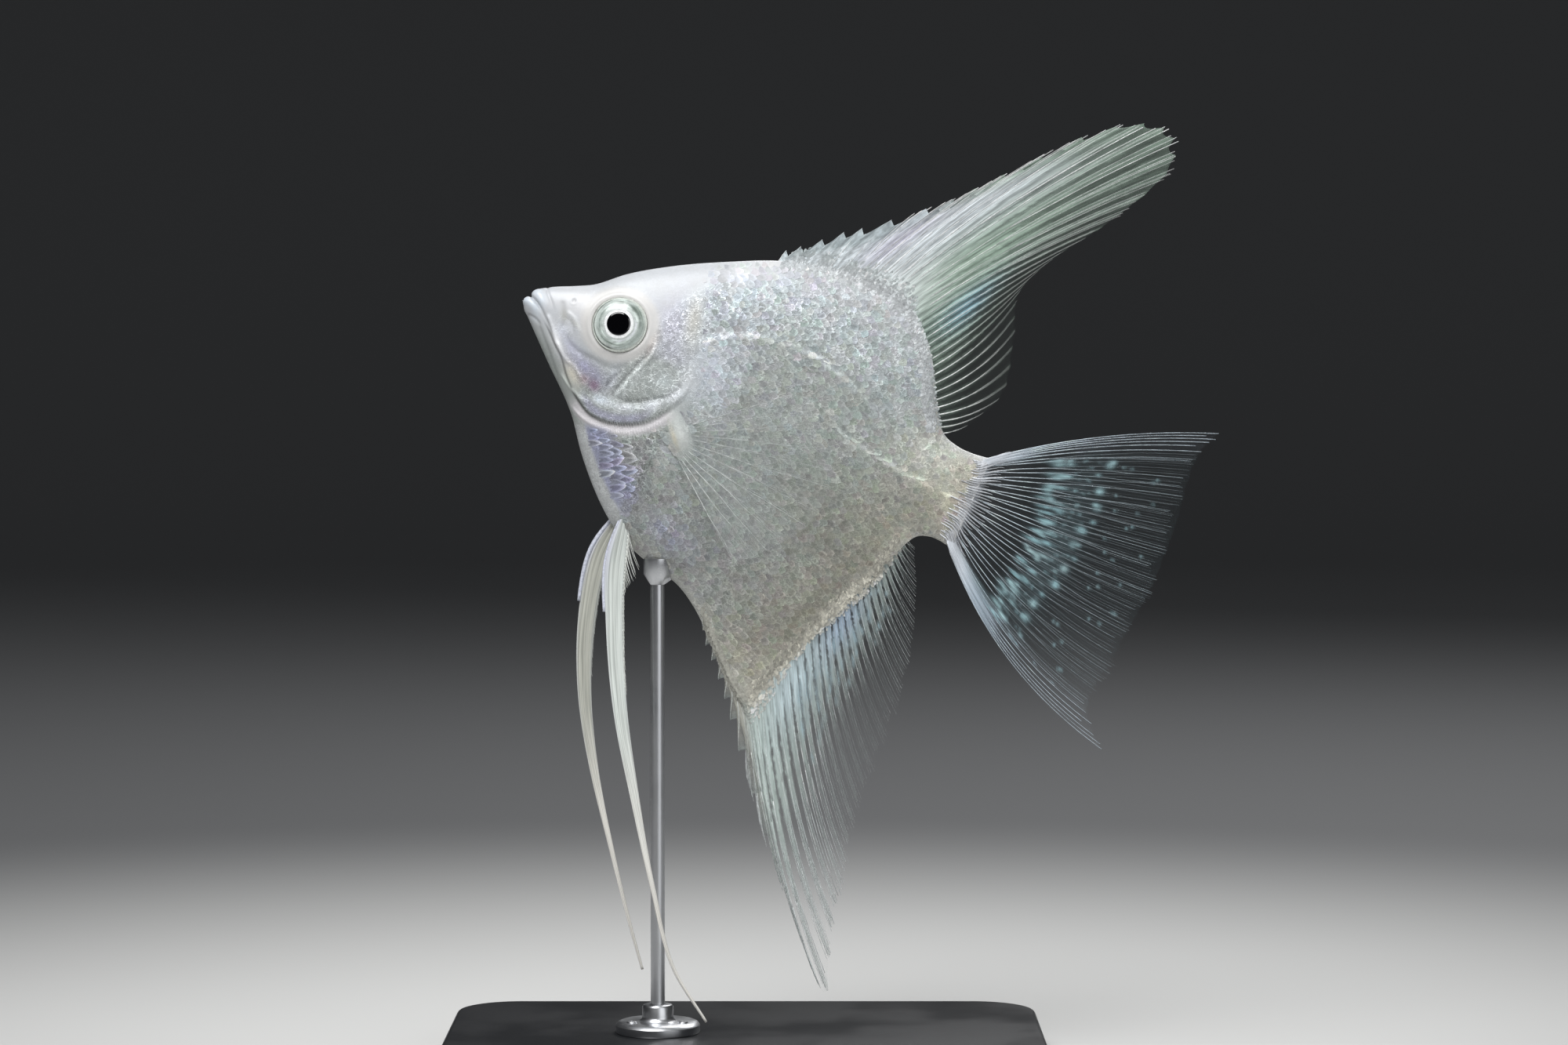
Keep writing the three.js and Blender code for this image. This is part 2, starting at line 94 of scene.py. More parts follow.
def near_line(line, x, z):
    """Distance from a smooth line, the share of its length there, and the side, +1 on the left."""
    line = np.array(line, float)
    run = np.concatenate([[0], np.cumsum(np.hypot(*np.diff(line, axis=0).T))])
    fine = np.linspace(0, run[-1], max(8, 5 * len(line)))
    lx, lz = through(*zip(run, line[:, 0]))(fine), through(*zip(run, line[:, 1]))(fine)
    best, share, side = np.full(x.shape, 1e9), np.zeros(x.shape), np.zeros(x.shape)
    for k in range(len(fine) - 1):
        dx, dz = lx[k + 1] - lx[k], lz[k + 1] - lz[k]
        t = np.clip(((x - lx[k]) * dx + (z - lz[k]) * dz) / (dx * dx + dz * dz), 0, 1)
        ex, ez = x - lx[k] - t * dx, z - lz[k] - t * dz
        distance = np.hypot(ex, ez)
        nearer = distance < best
        best = np.where(nearer, distance, best)
        share = np.where(nearer, (k + t) / (len(fine) - 1), share)
        side = np.where(nearer, np.sign(dx * ez - dz * ex), side)
    return best, share, side


def spot(x, z, cx, cz, rx, rz, turn=0.0):
    """A soft oval mask, 1 at its middle and 0 outside."""
    c, s = math.cos(math.radians(turn)), math.sin(math.radians(turn))
    a, b = (x - cx) * c + (z - cz) * s, -(x - cx) * s + (z - cz) * c
    return np.exp(-((a / rx) ** 2 + (b / rz) ** 2) * 1.2)


def grain(a, b, seed, wrap=64):
    """Soft noise from 0 to 1 over a plane, one lump to each unit, that repeats after wrap units."""
    levels = np.random.default_rng(seed).random((wrap, wrap))
    i, j = np.floor(a).astype(int), np.floor(b).astype(int)
    s, t = smooth(a - i, 0, 1), smooth(b - j, 0, 1)
    near_row = levels[i % wrap, j % wrap] * (1 - s) + levels[(i + 1) % wrap, j % wrap] * s
    far_row = levels[i % wrap, (j + 1) % wrap] * (1 - s) + levels[(i + 1) % wrap, (j + 1) % wrap] * s
    return near_row * (1 - t) + far_row * t


def to_row(points):
    """Points of the fish's own frame, in millimetres, in the row's frame, in metres."""
    x, y, z = points[..., 0], points[..., 1], points[..., 2]
    c, s = math.cos(NOSE_UP), math.sin(NOSE_UP)
    return (np.stack([x * c + z * s, y, z * c - x * s], -1) + SNOUT) * MM


def from_row(points):
    p = points / MM - SNOUT
    c, s = math.cos(NOSE_UP), math.sin(NOSE_UP)
    return np.stack([p[:, 0] * c - p[:, 2] * s, p[:, 1], p[:, 0] * s + p[:, 2] * c], -1)


def linear(colour):
    """sRGB from 0 to 255 as the linear values that a shader reads."""
    c = np.asarray(colour, float) / 255
    return np.where(c <= 0.04045, c / 12.92, ((c + 0.055) / 1.055) ** 2.4)


def mix(colour, target, mask):
    return colour + (np.asarray(target, float) - colour) * mask[..., None]


def layered(base, *layers):
    """Colours laid in turn over a base colour, each by its mask from 0 to 1."""
    tone = np.full(layers[0][1].shape + (3,), base, float)
    for colour, mask in layers:
        tone = mix(tone, colour, mask)
    return tone


def bell(value, width):
    """1 at 0, falling away softly on both sides."""
    return np.exp(-((value / width) ** 2))


# ---------------------------------------------------------------- the body's form
back = through(
    (0, 0.2), (0.5, 1.5), (1.5, 2.9), (3.1, 4), (6.3, 5.6), (9, 7.1), (12.7, 10.4), (18.8, 14.5),
    (26, 18.4), (33.8, 22), (41, 23.8), (46.5, 24.5), (52, 23.7), (57, 21.6), (60.6, 17.6),
    (64, 11.6), (66.6, 8.1), (69.4, 7), (72, 6.9), (BODY_LENGTH, 7.3),
)
belly = through(
    (0, 0), (0.5, -1), (1.5, -1.9), (6.8, -6.7), (13.6, -12.8), (17.4, -17.6), (22.8, -23.1),
    (27.6, -26.6), (33, -28.7), (39.3, -30.2), (43.8, -33), (49.5, -38.3), (54.6, -42.6),
    (56.4, -42.4), (57.9, -38), (60, -30.1), (62.8, -22.2), (66.6, -14.6), (69, -9),
    (71, -7.7), (BODY_LENGTH, -7.8),
)
half_width = through(
    (0, 0.9), (1, 1.6), (3, 2.2), (6, 2.9), (10, 3.9), (15, 4.8), (20, 5.6), (25, 6), (32, 6),
    (40, 5.6), (48, 4.8), (56, 3.8), (63, 2.9), (69, 2.2), (BODY_LENGTH, 1.3),
)
widest_level = through(
    (0, 0.3), (6, 0.6), (15, 0.6), (25, -2.5), (40, -2.5), (56, -0.5), (BODY_LENGTH, -0.2)
)
keel = through((0, 0.9), (10, 1), (20, 1.15), (32, 1.3), (45, 1.5), (62, 1.4), (BODY_LENGTH, 1))
SKIN_DEPTH = 0.12  # the skin lies this far inside the solids, under the scales

EYE = (15.0, 2.9)
EYE_RADIUS, EYE_WALL = 4.32, 4.3  # of the eye's grid, and of its straight sides below the dome
EYE_OPENING = (4.34, 4.08)  # half the opening's width along LID_TURN, and across it
LID_TURN = -24.0  # degrees

# Lines of the skin: points from front to rear or from top to bottom, the height and half width of the ridge
# (below 0 a groove), and how much and how widely painted light along the line lightens or darkens the skin: a
# painted highlight above 0, painted shade below.
LINES = {
    "mouth": (
        [(0.1, 1.45), (1.1, 1.2), (2.2, 0.7), (4.1, -0.7), (5.9, -2.3), (7.3, -3.9)],
        -0.46, 0.24, -0.12, 0.22,
    ),
    "upper lip": ([(0.7, 2.3), (1.5, 2.2), (2.9, 1.2), (4.4, 0)], 0.24, 0.62, 0.05, 0.6),
    "lower lip": ([(0.1, 0.5), (0.9, 0.4), (2.1, -0.2), (3.3, -1.1)], 0.26, 0.66, 0.04, 0.6),
    "lower lip fold": ([(1.2, -1.5), (2, -1.4), (3.2, -1.7), (3.9, -2.2)], -0.12, 0.25, -0.08, 0.25),
    "upper lip fold": ([(2.3, 3.9), (2.9, 2.9), (3.9, 1.9), (5.4, 0.4)], -0.1, 0.26, -0.04, 0.28),
    "snout fold": ([(5.4, 2.8), (6.2, 1.5), (6.9, 0.2), (7, -1.6)], -0.06, 0.4, -0.08, 0.45),
    "snout ridge": ([(6.7, 1.5), (8.2, 1), (9.4, 0), (10.2, -0.9)], 0.07, 0.3, 0.06, 0.28),
    "snout hollow": ([(7, 0.7), (8.3, 0.1), (9.3, -1.2)], -0.05, 0.26, -0.09, 0.24),
    "jaw plate": ([(4.1, -0.1), (5.3, -1.2), (6.6, -2.7), (7.9, -4.2)], 0.16, 0.35, 0.08, 0.3),
    "chin groove": (
        [(3.4, -1.9), (4.9, -3.5), (6.7, -5.3), (8.6, -7.4), (10.4, -9.4)], -0.1, 0.28, -0.08, 0.3
    ),
    "jaw corner": (
        [(9.6, -7.4), (11.3, -8.6), (12.8, -9.3), (14.8, -9.8), (16.6, -9.3)], 0.16, 0.26, 0.14, 0.24
    ),
    "cheek fold": ([(7.1, -3.1), (9.7, -5.3), (11.6, -5.9), (13.2, -7.4)], 0.16, 0.26, 0.1, 0.24),
    "eye socket fold": (
        [
            (7.6, -1.5), (9.8, -3.1), (13.4, -3.6), (16.7, -3.5), (18.6, -2.2), (20.1, 0.1),
            (21.2, 2.2), (21.9, 4.6),
        ],
        -0.14, 0.4, -0.07, 0.42,
    ),
    "cheek bone rear": (
        [(20.9, 3.4), (21.3, 0.8), (20.4, -2), (19.5, -4.8), (18.8, -7.7)], 0.22, 0.2, 0.24, 0.18
    ),
    "cheek bone groove": ([(21, 1), (19.9, -1.4), (18.9, -4.6), (18, -7.8)], -0.2, 0.2, -0.26, 0.2),
    "cheek bone front": ([(20.3, 0.3), (19.1, -1.5), (17.9, -4.6), (17.2, -7.8)], 0.18, 0.2, 0.2, 0.2),
    "cheek bone hollow": ([(18.9, -2.3), (17.6, -4.4), (16.6, -7)], -0.14, 0.2, -0.24, 0.22),
    "plate crease": (
        [(18.6, -7.3), (21, -7.1), (23.6, -5.7), (25.7, -4.3), (27, -2.7), (27.3, -0.8)],
        -0.26, 0.24, -0.26, 0.28,
    ),
    "plate top": ([(21.4, -0.8), (23.3, 1.4), (25.4, 1.4), (26.8, -0.3)], -0.12, 0.4, -0.06, 0.4),
    "plate rim": (
        [(16.4, -8.8), (19.2, -8.8), (22, -7.8), (24.5, -6.2), (26.6, -4), (28.3, -1.4)],
        0.12, 0.42, 0.04, 0.4,
    ),
    "gill rim": (
        [
            (12.9, -11.3), (15.3, -12.3), (18.4, -12.6), (21.1, -12.2), (24.3, -10.5), (27, -7.5),
            (28.1, -5.6),
        ],
        0.18, 0.2, 0.16, 0.18,
    ),
}
SIDE_LINES = {
    "front": [
        (25.6, 4.6), (27.2, 5.6), (29.9, 7.6), (33.3, 9.2), (37, 10.2),
        (41, 10.7), (44.5, 10.6), (48.4, 9.7), (53.7, 7.9), (56.4, 6.2),
    ],
    "rear": [(50.6, 2.2), (53.8, 1.2), (61.9, 0.1), (68.3, -0.1), (74.4, -0.7), (80, -1)],
}
# The jaw's rear edge runs on as the free edge of the gill cover.
JAW_EDGE = [(3.6, -0.9), (5.6, -2.5), (7.2, -4), (8.8, -5.3), (10.2, -7), (11.2, -8.1), (12.1, -8.9)]
GILL_EDGE = [
    (12.1, -8.9), (14.4, -10.5), (16.1, -11.3), (18.8, -11.4), (21.8, -10.6), (24.5, -9),
    (26.3, -7), (27.6, -4.8), (28.6, -2.6), (28.6, -0.2), (27.4, 2),
]
ANAL_BASE = [(68.6, -9.5), (66.8, -15.9), (63.3, -23.4), (59.8, -32.2), (57.6, -38.5)]
NOSTRIL = (7.1, 3.4)
FIN_PAD = (30.2, -8.9)  # the fleshy pad that carries the side fin
BELLY_PATCH = (34, -23.2, 4.6, 2.4, -15)  # the lavender patch behind the belly fins, as spot() takes it


def lines_near(x, z):
    """The distance, share and side of every line of the skin for some points of the flank."""
    found = {name: near_line(line[0], x, z) for name, line in LINES.items()}
    found["gill edge"] = near_line(GILL_EDGE, x, z)
    found["jaw edge"] = near_line(JAW_EDGE, x, z)
    return found


def beside_side_line(x, z):
    """1 on the side line's two runs, fading out within a fraction of a millimetre."""
    beside = np.zeros(x.shape)
    for name, line in SIDE_LINES.items():
        far, share, _ = near_line(line, x, z)
        ends = smooth(share, -0.02, 0.06) * smooth(1 - share, -0.02, 0.35)
        width = 0.37 + 0.2 * smooth(share, 0.2, 0.7) * (name == "rear")
        beside = np.maximum(beside, bell(far, width) * ends)
    return beside


def eye_distance(x, z):
    """Distance from the eye's middle, in units of its opening."""
    turn = math.radians(LID_TURN)
    dx, dz = x - EYE[0], z - EYE[1]
    along = dx * math.cos(turn) - dz * math.sin(turn)
    across = dx * math.sin(turn) + dz * math.cos(turn)
    return np.hypot(along / EYE_OPENING[0], across / EYE_OPENING[1])


def relief(x, z, rise, near):
    """How far the skin stands out at a place on the side. rise is 1 on the flank and 0 at the keels."""
    height = np.zeros(x.shape)
    limit = 0.3 * (back(x) - belly(x))
    for name, (_, lift, width, _, _) in LINES.items():
        far, share, _ = near[name]
        ridge = lift * bell(far, width)
        if name in ("mouth", "upper lip", "lower lip", "upper lip fold"):
            # These run round the snout's tip to the other side.
            ridge *= smooth(1 - share, -0.02, 0.6)
            if name == "mouth":
                ridge *= 0.35 + 0.65 * smooth(0.45 - share, 0, 0.25)
            height += np.clip(ridge, -limit, limit)
        else:
            height += ridge * smooth(share, -0.02, 0.14) * smooth(1 - share, -0.02, 0.18) * rise
    # The gill cover's free edge stands over the skin behind it.
    far, share, side = near["gill edge"]
    inside = far * side
    ends = smooth(share, 0, 0.12) * smooth(1 - share, 0, 0.3)
    lip = 0.5 * (1 + np.tanh(inside / 0.14)) * np.exp(-np.maximum(inside, 0) / 2.4)
    trough = bell(np.minimum(inside, 0), 0.45) * 0.5 * (1 - np.tanh(inside / 0.14))
    height += ends * rise * (0.34 * lip - 0.2 * trough)
    far, share, side = near["jaw edge"]
    step = 0.5 * (1 + np.tanh(far * side / 0.16)) * np.exp(-np.maximum(far * side, 0) / 1.2)
    height += smooth(share, 0, 0.3) * rise * (0.18 * step - 0.12 * bell(far, 0.22))
    # The eye's socket, its raised rim, and the broad smooth ring of bone round it.
    eye = eye_distance(x, z)
    height += 0.14 * bell(eye - 1.1, 0.08) - 1.7 * smooth(0.985 - eye, 0, 0.07)
    height += 0.14 * smooth(1.5 - eye, 0, 0.3) * rise
    # The nostril, with a low collar.
    far = np.hypot(x - NOSTRIL[0], (z - NOSTRIL[1]) * 0.8)
    height += 0.03 * bell(far - 0.45, 0.2) - 0.09 * bell(far, 0.24)
    # The pad of the side fin, with the grooves between the roots of its rays.
    pad = spot(x, z, *FIN_PAD, 3.4, 1.5, -48)
    fan = np.sin(np.arctan2(z - FIN_PAD[1] - 3, x - FIN_PAD[0] + 3) * 34)
    return height + pad * (0.8 + 0.07 * fan) * rise


def section_point(x, angle):
    """Points of the plain body, with the right flank at angle 0 and the back a quarter turn on."""
    top, bottom, level = back(x) - SKIN_DEPTH, belly(x) + SKIN_DEPTH, widest_level(x)
    c, s = np.cos(angle), np.sin(angle)
    z = level + np.where(s > 0, top - level, level - bottom) * s
    y = (half_width(x) - SKIN_DEPTH) * np.sign(c) * np.abs(c) ** keel(x)
    return np.stack([x, y, z], -1)


def section_normal(x, angle):
    step = 0.02
    ahead = section_point(x + step, angle) - section_point(x - step, angle)
    around = section_point(x, angle + step) - section_point(x, angle - step)
    normal = np.cross(around, ahead)
    return normal / (np.linalg.norm(normal, axis=-1, keepdims=True) + 1e-12)


def folded_height(x, z, angle, near):
    """The skin's relief, fading out where the section turns over a keel."""
    return relief(x, z, smooth(np.abs(np.cos(angle)), 0.02, 0.4), near)


def skin_point(x, angle):
    """Points of the skin with its folds."""
    point = section_point(x, angle)
    height = folded_height(x, point[..., 2], angle, lines_near(x, point[..., 2]))
    return point + section_normal(x, angle) * height[..., None]


def angle_at(x, z, side):
    """The section's angle where the flank of that side has the height z."""
    level = widest_level(x)
    reach = np.where(z > level, back(x) - SKIN_DEPTH - level, level - belly(x) - SKIN_DEPTH)
    up = np.arcsin(np.clip((z - level) / reach, -0.999, 0.999))
    return up if side > 0 else math.pi - up


# ---------------------------------------------------------------- the markings
pale_from = through(
    (0, -3.4), (4, -3.4), (8, -2.9), (13, -3.2), (17, -3), (19, 0), (20.5, 5.6), (22, 9.6), (25, 13.6),
    (30, 17), (36, 19.4), (44, 20.6), (52, 20.4), (58, 18.4), (62, 13.4), (66, 8.4), (75, 6.4),
)
arch = through((24, 3), (28, 7), (33, 10), (40, 11.6), (47, 11), (54, 8), (62, 3.6), (75, 1))


def markings(x, z, near):
    """The skin's colour in sRGB, the same for skin and scales, with painted light laid in: shade in grooves
    and under free edges, highlights on ridges, and lighter bands along the belly's edge and the anal fin's
    base.
    """

    def oval(strength, *place):
        return spot(x, z, *place) * strength

    over_arch, off_back, off_belly = z - arch(x), z - back(x), z - belly(x)
    # Warmer and duller towards the belly and the tail.
    warm = smooth(0.62 * x - 0.34 * z, 31, 47)
    crown = smooth(z - pale_from(x), -2.2, 2.8)
    chin = smooth(-0.76 * x - 0.65 * z, 0.1, 0.9) * smooth(5.2 - off_belly, 0, 1) * smooth(13.6 - x, 0, 1)
    bone = smooth(1.8 - near["cheek bone rear"][0], 0, 1.2) * smooth(x, 16, 17.5)
    bone *= smooth(20.9 - x - 0.3 * z, 0, 0.8)
    rim, along, _ = near["plate rim"]
    bright_band = bell(rim, 0.62 + 0.35 * along) * (0.75 + 0.25 * np.sin(along * 23 + 1))
    far, along, side = near["gill edge"]
    inside = far * side
    low_band = smooth(inside, 0.1, 0.5) * smooth(1.9 - far, 0, 0.9)
    low_band *= smooth(x, 13, 16) * smooth(25.6 - x, 0, 2)
    fold = smooth(-inside, 0, 0.3) * smooth(2.1 + inside, 0, 0.8)
    fold *= smooth(along, 0.02, 0.12) * smooth(0.72 - along, 0, 0.1)
    margin = off_belly * 0.72
    breast = smooth(x, 12.6, 14) * smooth(29 - x, 0, 4) * smooth(-12.4 - z - 0.22 * (20 - x), -0.6, 0.6)
    breast_rear = breast * smooth(margin, 4.6, 6.4) * smooth(-13 - z + 0.2 * (x - 22), -1, 1.5)
    lips = np.maximum(bell(near["upper lip"][0], 0.8), bell(near["lower lip"][0], 0.8))
    lips *= smooth(4 - x, 0, 2)
    tone = layered(
        (168, 174, 171),
        # Above the arch of the side line the flank is pale and cool.
        ((190, 198, 199), smooth(over_arch, -3.5, 3)),
        ((207, 215, 221), smooth(over_arch, 0, 7) * smooth(50 - x, 0, 16)),
        ((206, 212, 222), oval(0.85, 30.5, 3, 4.6, 9, 8)),
        ((159, 156, 141), warm * 0.9),
        ((153, 156, 153), smooth(-z, 10, 24) * (1 - warm) * 0.8),
        ((138, 139, 128), oval(0.55, 52, -10, 9, 8, -30)),
        ((150, 158, 154), oval(0.4, 57, 10, 5, 6, -60)),
        ((186, 192, 189), oval(0.5, 32, -10, 4, 4)),
        # The tail's root and the belly's lower end are paler.
        ((203, 205, 195), oval(1, 67, 4.5, 6.5, 4.6)),
        ((198, 194, 178), oval(0.9, 73, -1, 4.5, 10)),
        ((214, 216, 222), smooth(x, 73, 74.4) * 0.8),
        ((189, 187, 174), smooth(-z, 32, 40) * 0.75),
        # The anal fin's base is paler, and this band along it is also painted light, lifting the body where
        # it thins and turns from the lamps.
        ((228, 225, 213), bell(near_line(ANAL_BASE, x, z)[0] - 0.8, 1.7) * 0.75),
        ((182, 184, 202), oval(0.8, *BELLY_PATCH)),
        # Painted light along the belly's edge, where the surface faces down, away from the lamps.
        ((190, 190, 184), smooth(3.4 - off_belly, 0, 3) * smooth(x, 26, 30) * 0.7),
        ((206, 196, 170), smooth(off_back + 2.4, 0, 1.6) * smooth(x, 58, 63) * smooth(68 - x, 0, 3) * 0.5),
        # Crown and back are nearly white.
        ((197, 200, 204), crown),
        ((216, 217, 219), crown * smooth(off_back + 2.4, 0, 2) * smooth(x, 24, 33)),
        ((214, 213, 214), oval(0.7, 9, 3.4, 4, 2.4, 20)),
        # The temple: lavender, with a warm pale band down to the shoulder.
        ((207, 206, 220), oval(0.85, 22.4, 6, 2.8, 4.6, 12)),
        ((196, 198, 209), oval(0.8, 24.4, 2.2, 3.2, 2.2)),
        ((224, 222, 212), oval(0.75, 25, 8.2, 1.3, 3.8, 16)),
        ((218, 216, 213), smooth(1.55 - eye_distance(x, z), 0, 0.3) * 0.85),
        ((212, 204, 200), oval(0.6, 20.6, 1.6, 0.9, 2.6, -10)),
        # The snout's faint grey and beige patches.
        ((196, 197, 193), oval(0.9, 6.7, 0.6, 1.3, 0.6, -60)),
        ((200, 202, 200), oval(0.9, 8.7, 0.3, 1.3, 0.45, -20)),
        ((226, 230, 240), oval(0.8, 7.2, -1.6, 1.3, 1.6)),
        # The lavender cheek, its wine spot, and the jaw with a cream patch.
        ((166, 165, 190), oval(1, 13, -5.4, 4.4, 1.7, -14)),
        ((198, 200, 217), oval(0.9, 9.8, -3.5, 2.6, 1.3, -34)),
        ((172, 176, 184), oval(0.8, 17.2, -5, 1.2, 2.6, -14)),
        ((134, 104, 130), oval(0.85, 15.1, -7.1, 1, 0.8, -30)),
        ((180, 154, 164), oval(0.7, 13.3, -6.9, 0.9, 0.8)),
        ((232, 228, 222), chin),
        ((226, 220, 204), oval(0.85, 11.3, -6.8, 2.4, 1.1, -40)),
        ((232, 232, 234), oval(0.8, 7.4, -3.6, 2.6, 1, -44)),
        # The gill cover: a silver-grey plate, a bright band below, then a purple-grey one and a pale fold.
        ((172, 178, 176), smooth(oval(1, 23.6, -2.6, 3.7, 3.2, 22), 0.18, 0.5)),
        ((203, 211, 212), oval(0.75, 24.6, -2.2, 2.3, 1.8)),
        ((198, 204, 204), bone * 0.6),
        ((234, 239, 246), bright_band * 0.95),
        ((218, 228, 236), oval(0.8, 16.8, -8.6, 1.6, 0.8, 12)),
        ((166, 167, 186), low_band * 0.9),
        ((217, 221, 224), oval(0.75, 27.5, -0.4, 1.2, 3)),
        ((212, 209, 212), fold),
        # The breast: purple-grey scales behind a smooth pale margin.
        ((196, 199, 200), breast * smooth(2.9 - margin, 0, 1)),
        ((156, 159, 184), breast * smooth(margin, 1.7, 2.5) * smooth(6.8 - margin, 0, 2) * 0.95),
        ((158, 156, 163), breast_rear * 0.5),
        # Lips and the side fin's pad.
        ((204, 213, 222), lips * 0.8),
        ((217, 221, 217), oval(0.85, *FIN_PAD, 3.2, 1.3, -48)),
        ((224, 217, 196), oval(0.8, 29.5, -9.4, 2, 0.4, -48)),
    )
    # The painted shade and highlights of the skin's folds darken and lighten the colour.
    return np.clip(tone * painted_fold_shading(x, z, near)[..., None], 0, 250)


def painted_fold_shading(x, z, near):
    """Painted shade in grooves and a painted highlight on ridges, painted shadow under the gill cover's and
    the jaw's free edges, and painted shade at the eye socket's edge and in the nostril.
    """
    light = np.ones(x.shape)
    for name, (_, _, _, tint, width) in LINES.items():
        far, share, _ = near[name]
        light += tint * bell(far, width) * smooth(share, -0.05, 0.12) * smooth(1 - share, -0.05, 0.25)
    # Painted shadow under the gill cover's free edge, then along the jaw's edge.
    far, share, side = near["gill edge"]
    light -= 0.34 * bell(far * side + 0.06, 0.2) * smooth(share, 0, 0.06) * smooth(0.66 - share, 0, 0.3)
    far, share, _ = near["jaw edge"]
    light -= 0.24 * bell(far, 0.16) * smooth(share, 0, 0.25)
    # Painted shade at the eye socket's edge and in the nostril.
    light -= 0.1 * smooth(1 - eye_distance(x, z), 0, 0.03)
    return light - 0.05 * bell(np.hypot(x - NOSTRIL[0], z - NOSTRIL[1]), 0.28)


def silver(x, z, near):
    """How strongly the silver shows: hardly on the crown, most on cheek, temple and gill cover."""
    shine = 1 + 0.35 * smooth(z - arch(x), -3, 4)
    shine *= 1 - (0.93 - 0.6 * smooth(x, 31, 42)) * smooth(z - pale_from(x), -3.4, 1.4)
    cover = smooth(28.6 - x, 0, 2) * smooth(x, 6, 9) * smooth(z - belly(x), 3, 6)
    shine *= 1 + 0.9 * cover
    shine = np.maximum(shine, spot(x, z, 23.4, 5.6, 3.4, 4.8) * 1.3)
    far, along, side = near["gill edge"]
    fold = smooth(-far * side, 0, 0.3) * smooth(2.2 + far * side, 0, 0.8) * smooth(0.8 - along, 0, 0.1)
    shine *= 1 - 0.7 * fold
    shine = np.maximum(shine, spot(x, z, 7.6, -1.2, 2.4, 2.2) * 0.9)
    shine = np.maximum(shine, spot(x, z, *BELLY_PATCH) * 1.5)
    shine *= 1 - 0.85 * smooth(1.45 - eye_distance(x, z), 0, 0.25)
    shine *= 1 - 0.6 * spot(x, z, *FIN_PAD, 3.6, 1.7, -48)
    return shine * (1 - 0.65 * smooth(belly(x) + 4.6 - z, 0, 1.6) * smooth(13.6 - x, 0, 1))


# ---------------------------------------------------------------- modelling helpers
def only(*objects):
    bpy.ops.object.select_all(action="DESELECT")
    for o in objects:
        o.select_set(True)
    bpy.context.view_layer.objects.active = objects[-1]


def apply_modifiers(piece):
    only(piece)
    for modifier in list(piece.modifiers):
        bpy.ops.object.modifier_apply(modifier=modifier.name)


def finish_piece(piece, name, material, solids=(), smooth_angle=None):
    """Names the piece, gives it its material and slot, and sets it on the part's body."""
    piece.name = piece.data.name = name
    piece.data.materials.clear()
    piece.data.materials.append(material)
    only(piece)
    if smooth_angle is None:
        bpy.ops.object.shade_smooth()
    else:
        bpy.ops.object.shade_smooth_by_angle(angle=math.radians(smooth_angle))
    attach(piece, "root")
    if solids:
        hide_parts(*solids)
    return piece


def store(piece, **levels):
    """Keeps a level for each vertex under its name."""
    for name, values in levels.items():
        layer = piece.data.attributes.new(name, "FLOAT", "POINT")
        layer.data.foreach_set("value", np.asarray(values, np.float32))


def read(piece, name):
    layer = piece.data.attributes[name]
    values = np.empty(len(layer.data), np.float32)
    layer.data.foreach_get("value", values)
    return values


def vertices(piece):
    co = np.empty(len(piece.data.vertices) * 3, np.float32)
    piece.data.vertices.foreach_get("co", co)
    return co.reshape(-1, 3)


def paint(piece, colour, **levels):
    """Stores each vertex's colour, given in sRGB, and other levels by name, for the material to read."""
    rgba = np.ones((len(piece.data.vertices), 4), np.float32)
    rgba[:, :3] = linear(colour)
    layer = piece.data.color_attributes.new("Paint", "FLOAT_COLOR", "POINT")
    layer.data.foreach_set("color", rgba.ravel())
    store(piece, **levels)


def sheet(columns, rows, place, wrap=False):
    """A grid whose vertices are moved to place(u, v), in the fish's frame, with each vertex's u and v.
    wrap joins its first and last columns."""
    bpy.ops.object.select_all(action="DESELECT")
    bpy.ops.mesh.primitive_grid_add(x_subdivisions=columns, y_subdivisions=rows, size=1)
    piece = bpy.context.object
    co = vertices(piece)
    u = np.round((co[:, 0] + 0.5) * columns) / columns
    v = np.round((co[:, 1] + 0.5) * rows) / rows
    piece.data.vertices.foreach_set("co", to_row(place(u, v)).astype(np.float32).ravel())
    piece.data.update()
    if wrap:
        store(piece, u=u, v=v)
        only(piece)
        bpy.ops.object.mode_set(mode="EDIT")
        weld(1e-8)
        u, v = (read(piece, key) for key in ("u", "v"))
    return piece, u, v


def weld(distance):
    """Joins vertices that lie together, turns the faces outwards and leaves edit mode."""
    bpy.ops.mesh.select_all(action="SELECT")
    bpy.ops.mesh.remove_doubles(threshold=distance)
    bpy.ops.mesh.normals_make_consistent(inside=False)
    bpy.ops.object.mode_set(mode="OBJECT")


def linked(name, data):
    """A new object of the scene that shows the data."""
    made = bpy.data.objects.new(name, data)
    bpy.context.scene.collection.objects.link(made)
    return made


def from_arrays(name, points, faces, colour, **levels):
    """A joined mesh of many small like shapes."""
    mesh = bpy.data.meshes.new(name)
    mesh.from_pydata(to_row(points).tolist(), [], faces)
    piece = linked(name, mesh)
    paint(piece, colour, **levels)
    return piece


